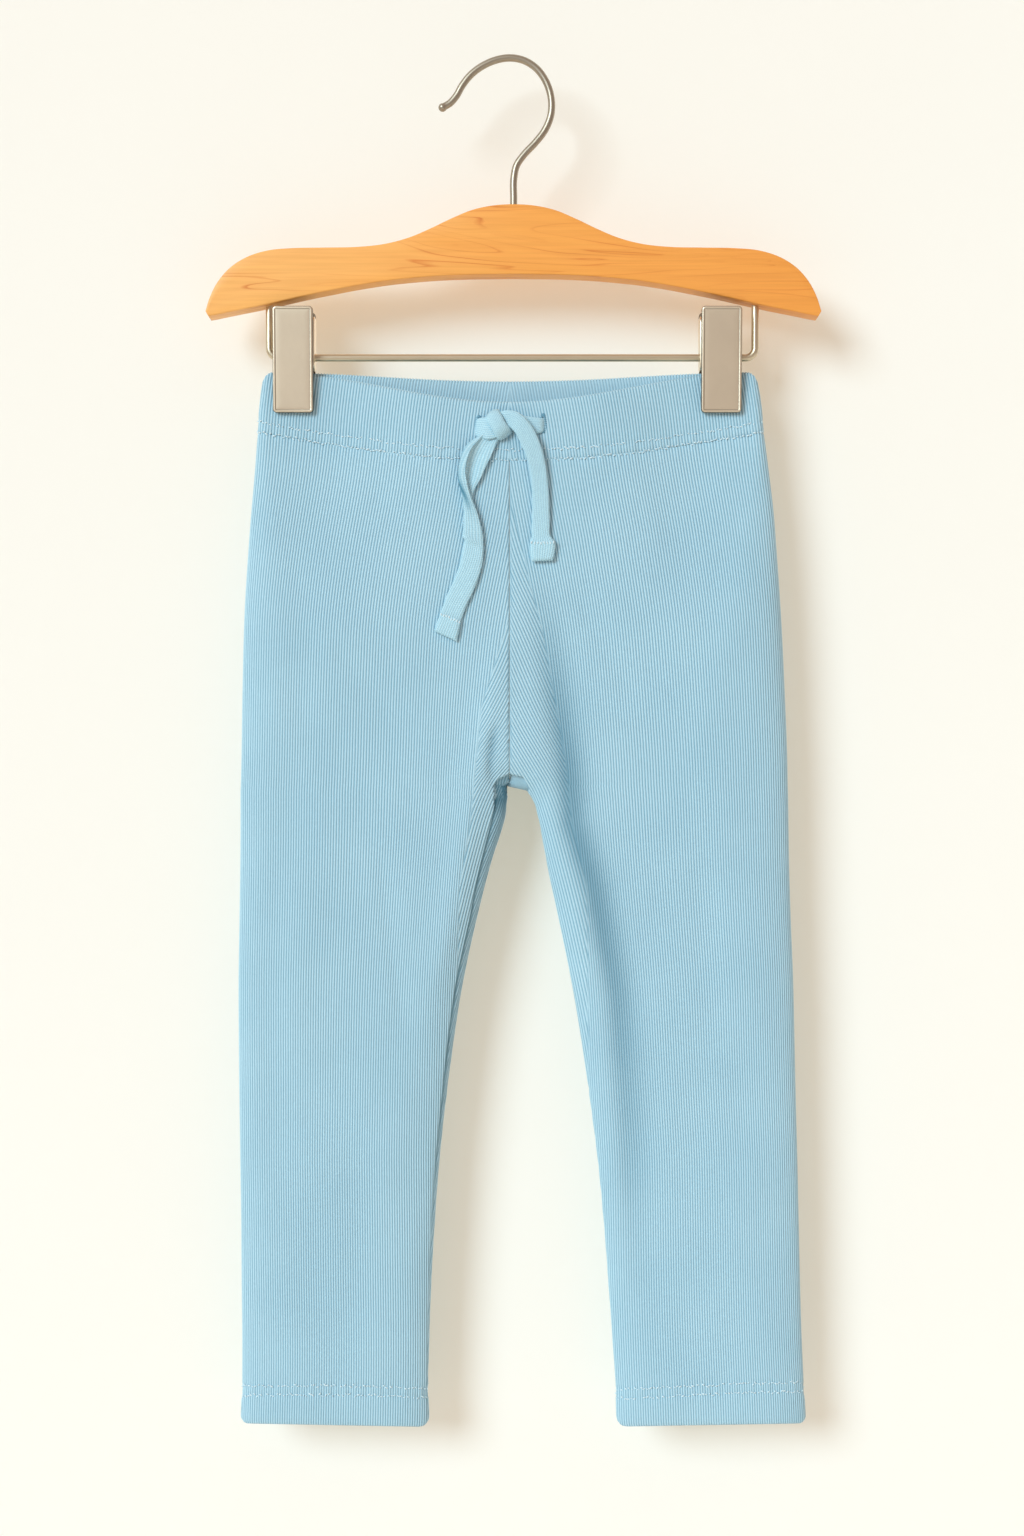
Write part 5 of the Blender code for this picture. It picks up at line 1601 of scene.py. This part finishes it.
def room():
    plane("wall", (-ROOM_HALF, WALL_Y, FLOOR_Z), (ROOM_HALF, WALL_Y, WALL_TOP_Z),
          plaster("wall_paint_and_glow", (0.69, 0.705, 0.7), True))
    plane("floor", (-ROOM_HALF, -FLOOR_HALF, FLOOR_Z), (ROOM_HALF, FLOOR_HALF, FLOOR_Z),
          plaster("floor_paint", (0.88, 0.865, 0.81), False))
    lamp("key", (0.8, 1.15, -0.52), 26.0, 2.26, (0.73, 0.91, 1.0))
    lamp("back_key", (-0.8, -1.15, -0.52), 26.0, 0.6, (0.9, 0.95, 1.0))
    world = bpy.data.worlds.new("world")
    world.use_nodes = True
    bpy.context.scene.world = world
    tree = world.node_tree
    lit = tree.nodes["Background"]
    high = tree.nodes.new("ShaderNodeSeparateXYZ")
    tree.links.new(tree.nodes.new("ShaderNodeTexCoord").outputs["Generated"], high.inputs[0])
    sky = tree.nodes.new("ShaderNodeValToRGB")
    sky.color_ramp.elements[0].color = (0.5, 0.42, 0.37, 1.0)
    sky.color_ramp.elements[1].color = (1.0, 0.83, 0.74, 1.0)
    half = tree.nodes.new("ShaderNodeMath")
    half.operation = "MULTIPLY_ADD"
    half.inputs[1].default_value = half.inputs[2].default_value = 0.5
    tree.links.new(high.outputs["Z"], half.inputs[0])
    tree.links.new(half.outputs[0], sky.inputs["Fac"])
    tree.links.new(sky.outputs["Color"], lit.inputs["Color"])
    lit.inputs["Strength"].default_value = 0.64
    seen = tree.nodes.new("ShaderNodeBackground")
    seen.inputs["Color"].default_value = (0.99, 0.97, 0.9, 1.0)
    mixed = tree.nodes.new("ShaderNodeMixShader")
    tree.links.new(tree.nodes.new("ShaderNodeLightPath").outputs["Is Camera Ray"], mixed.inputs[0])
    tree.links.new(lit.outputs[0], mixed.inputs[1])
    tree.links.new(seen.outputs[0], mixed.inputs[2])
    tree.links.new(mixed.outputs[0], tree.nodes["World Output"].inputs["Surface"])
    bpy.context.scene.view_settings.view_transform = "Standard"


# -------- making everything
def make_drawstring(finish, sewing):
    """Both tails are tapes with turned ends. The left one starts in an eyelet and the right one at
    the knot.
    """
    knot = Shell()
    tape(knot, KNOT_ROOT, 24)
    tape(knot, KNOT_WRAP, 28, crown=0.6)
    knot = dress(knot.mesh_object("tape_knot", sharp=60), finish, "tape_knit", "drawstring_knot")
    tails = (("left", LEFT_TAIL, 150, []), ("right", RIGHT_TAIL, 90, [knot]))
    for side, table, count, others in tails:
        shell = Shell()
        made = tape(shell, table, count, turned_end=True)
        obj = shell.mesh_object("tape_" + side, sharp=60)
        dress(obj, finish, "tape_knit", "drawstring_" + side)
        ends = dress(end_threads("tape_end_stitches_" + side, *made), sewing, "tape_knit")


def make_cloth(finish, sewing, gap):
    for side in SIDES:
        cloth = dress(leg(side), finish, "rib_knit", "leg_" + side)
        hem = dress(hem_threads(side), sewing, "rib_knit")
    band = dress(waistband(), finish, "rib_knit", "waistband")
    pieces = [dress(waist_threads(), sewing, "rib_knit")]
    for side in SIDES:
        ring, slit = eyelet(side)
        pieces += [dress(ring, finish, "rib_knit"), dress(slit, gap, "rib_knit")]


def make_hanger():
    dress(bar(), wood(), "stained_wood", "hanger_bar")
    plate = nickel("plate_nickel", (0.86, 0.75, 0.58), 0.3)
    dress(hook(), nickel("hook_nickel", (0.42, 0.36, 0.28), 0.34), "satin_nickel", "hanger_hook")
    dress(rod(), nickel("rod_nickel", (0.68, 0.58, 0.42), 0.3), "satin_nickel", "clip_rod")
    for side in SIDES:
        for facing, face in ((FRONT, "front"), (BACK, "back")):
            dress(jaw(side, facing), plate, "satin_nickel", "clip_{}_{}".format(side, face))
        for end in ("inner", "outer"):
            dress(cheek(side, end), plate, "satin_nickel", "clip_{}_back".format(side))


def main():
    sewing = thread()
    make_drawstring(tape_knit(), sewing)
    make_cloth(rib_knit(), sewing, shadow_gap())
    make_hanger()
    room()


main()
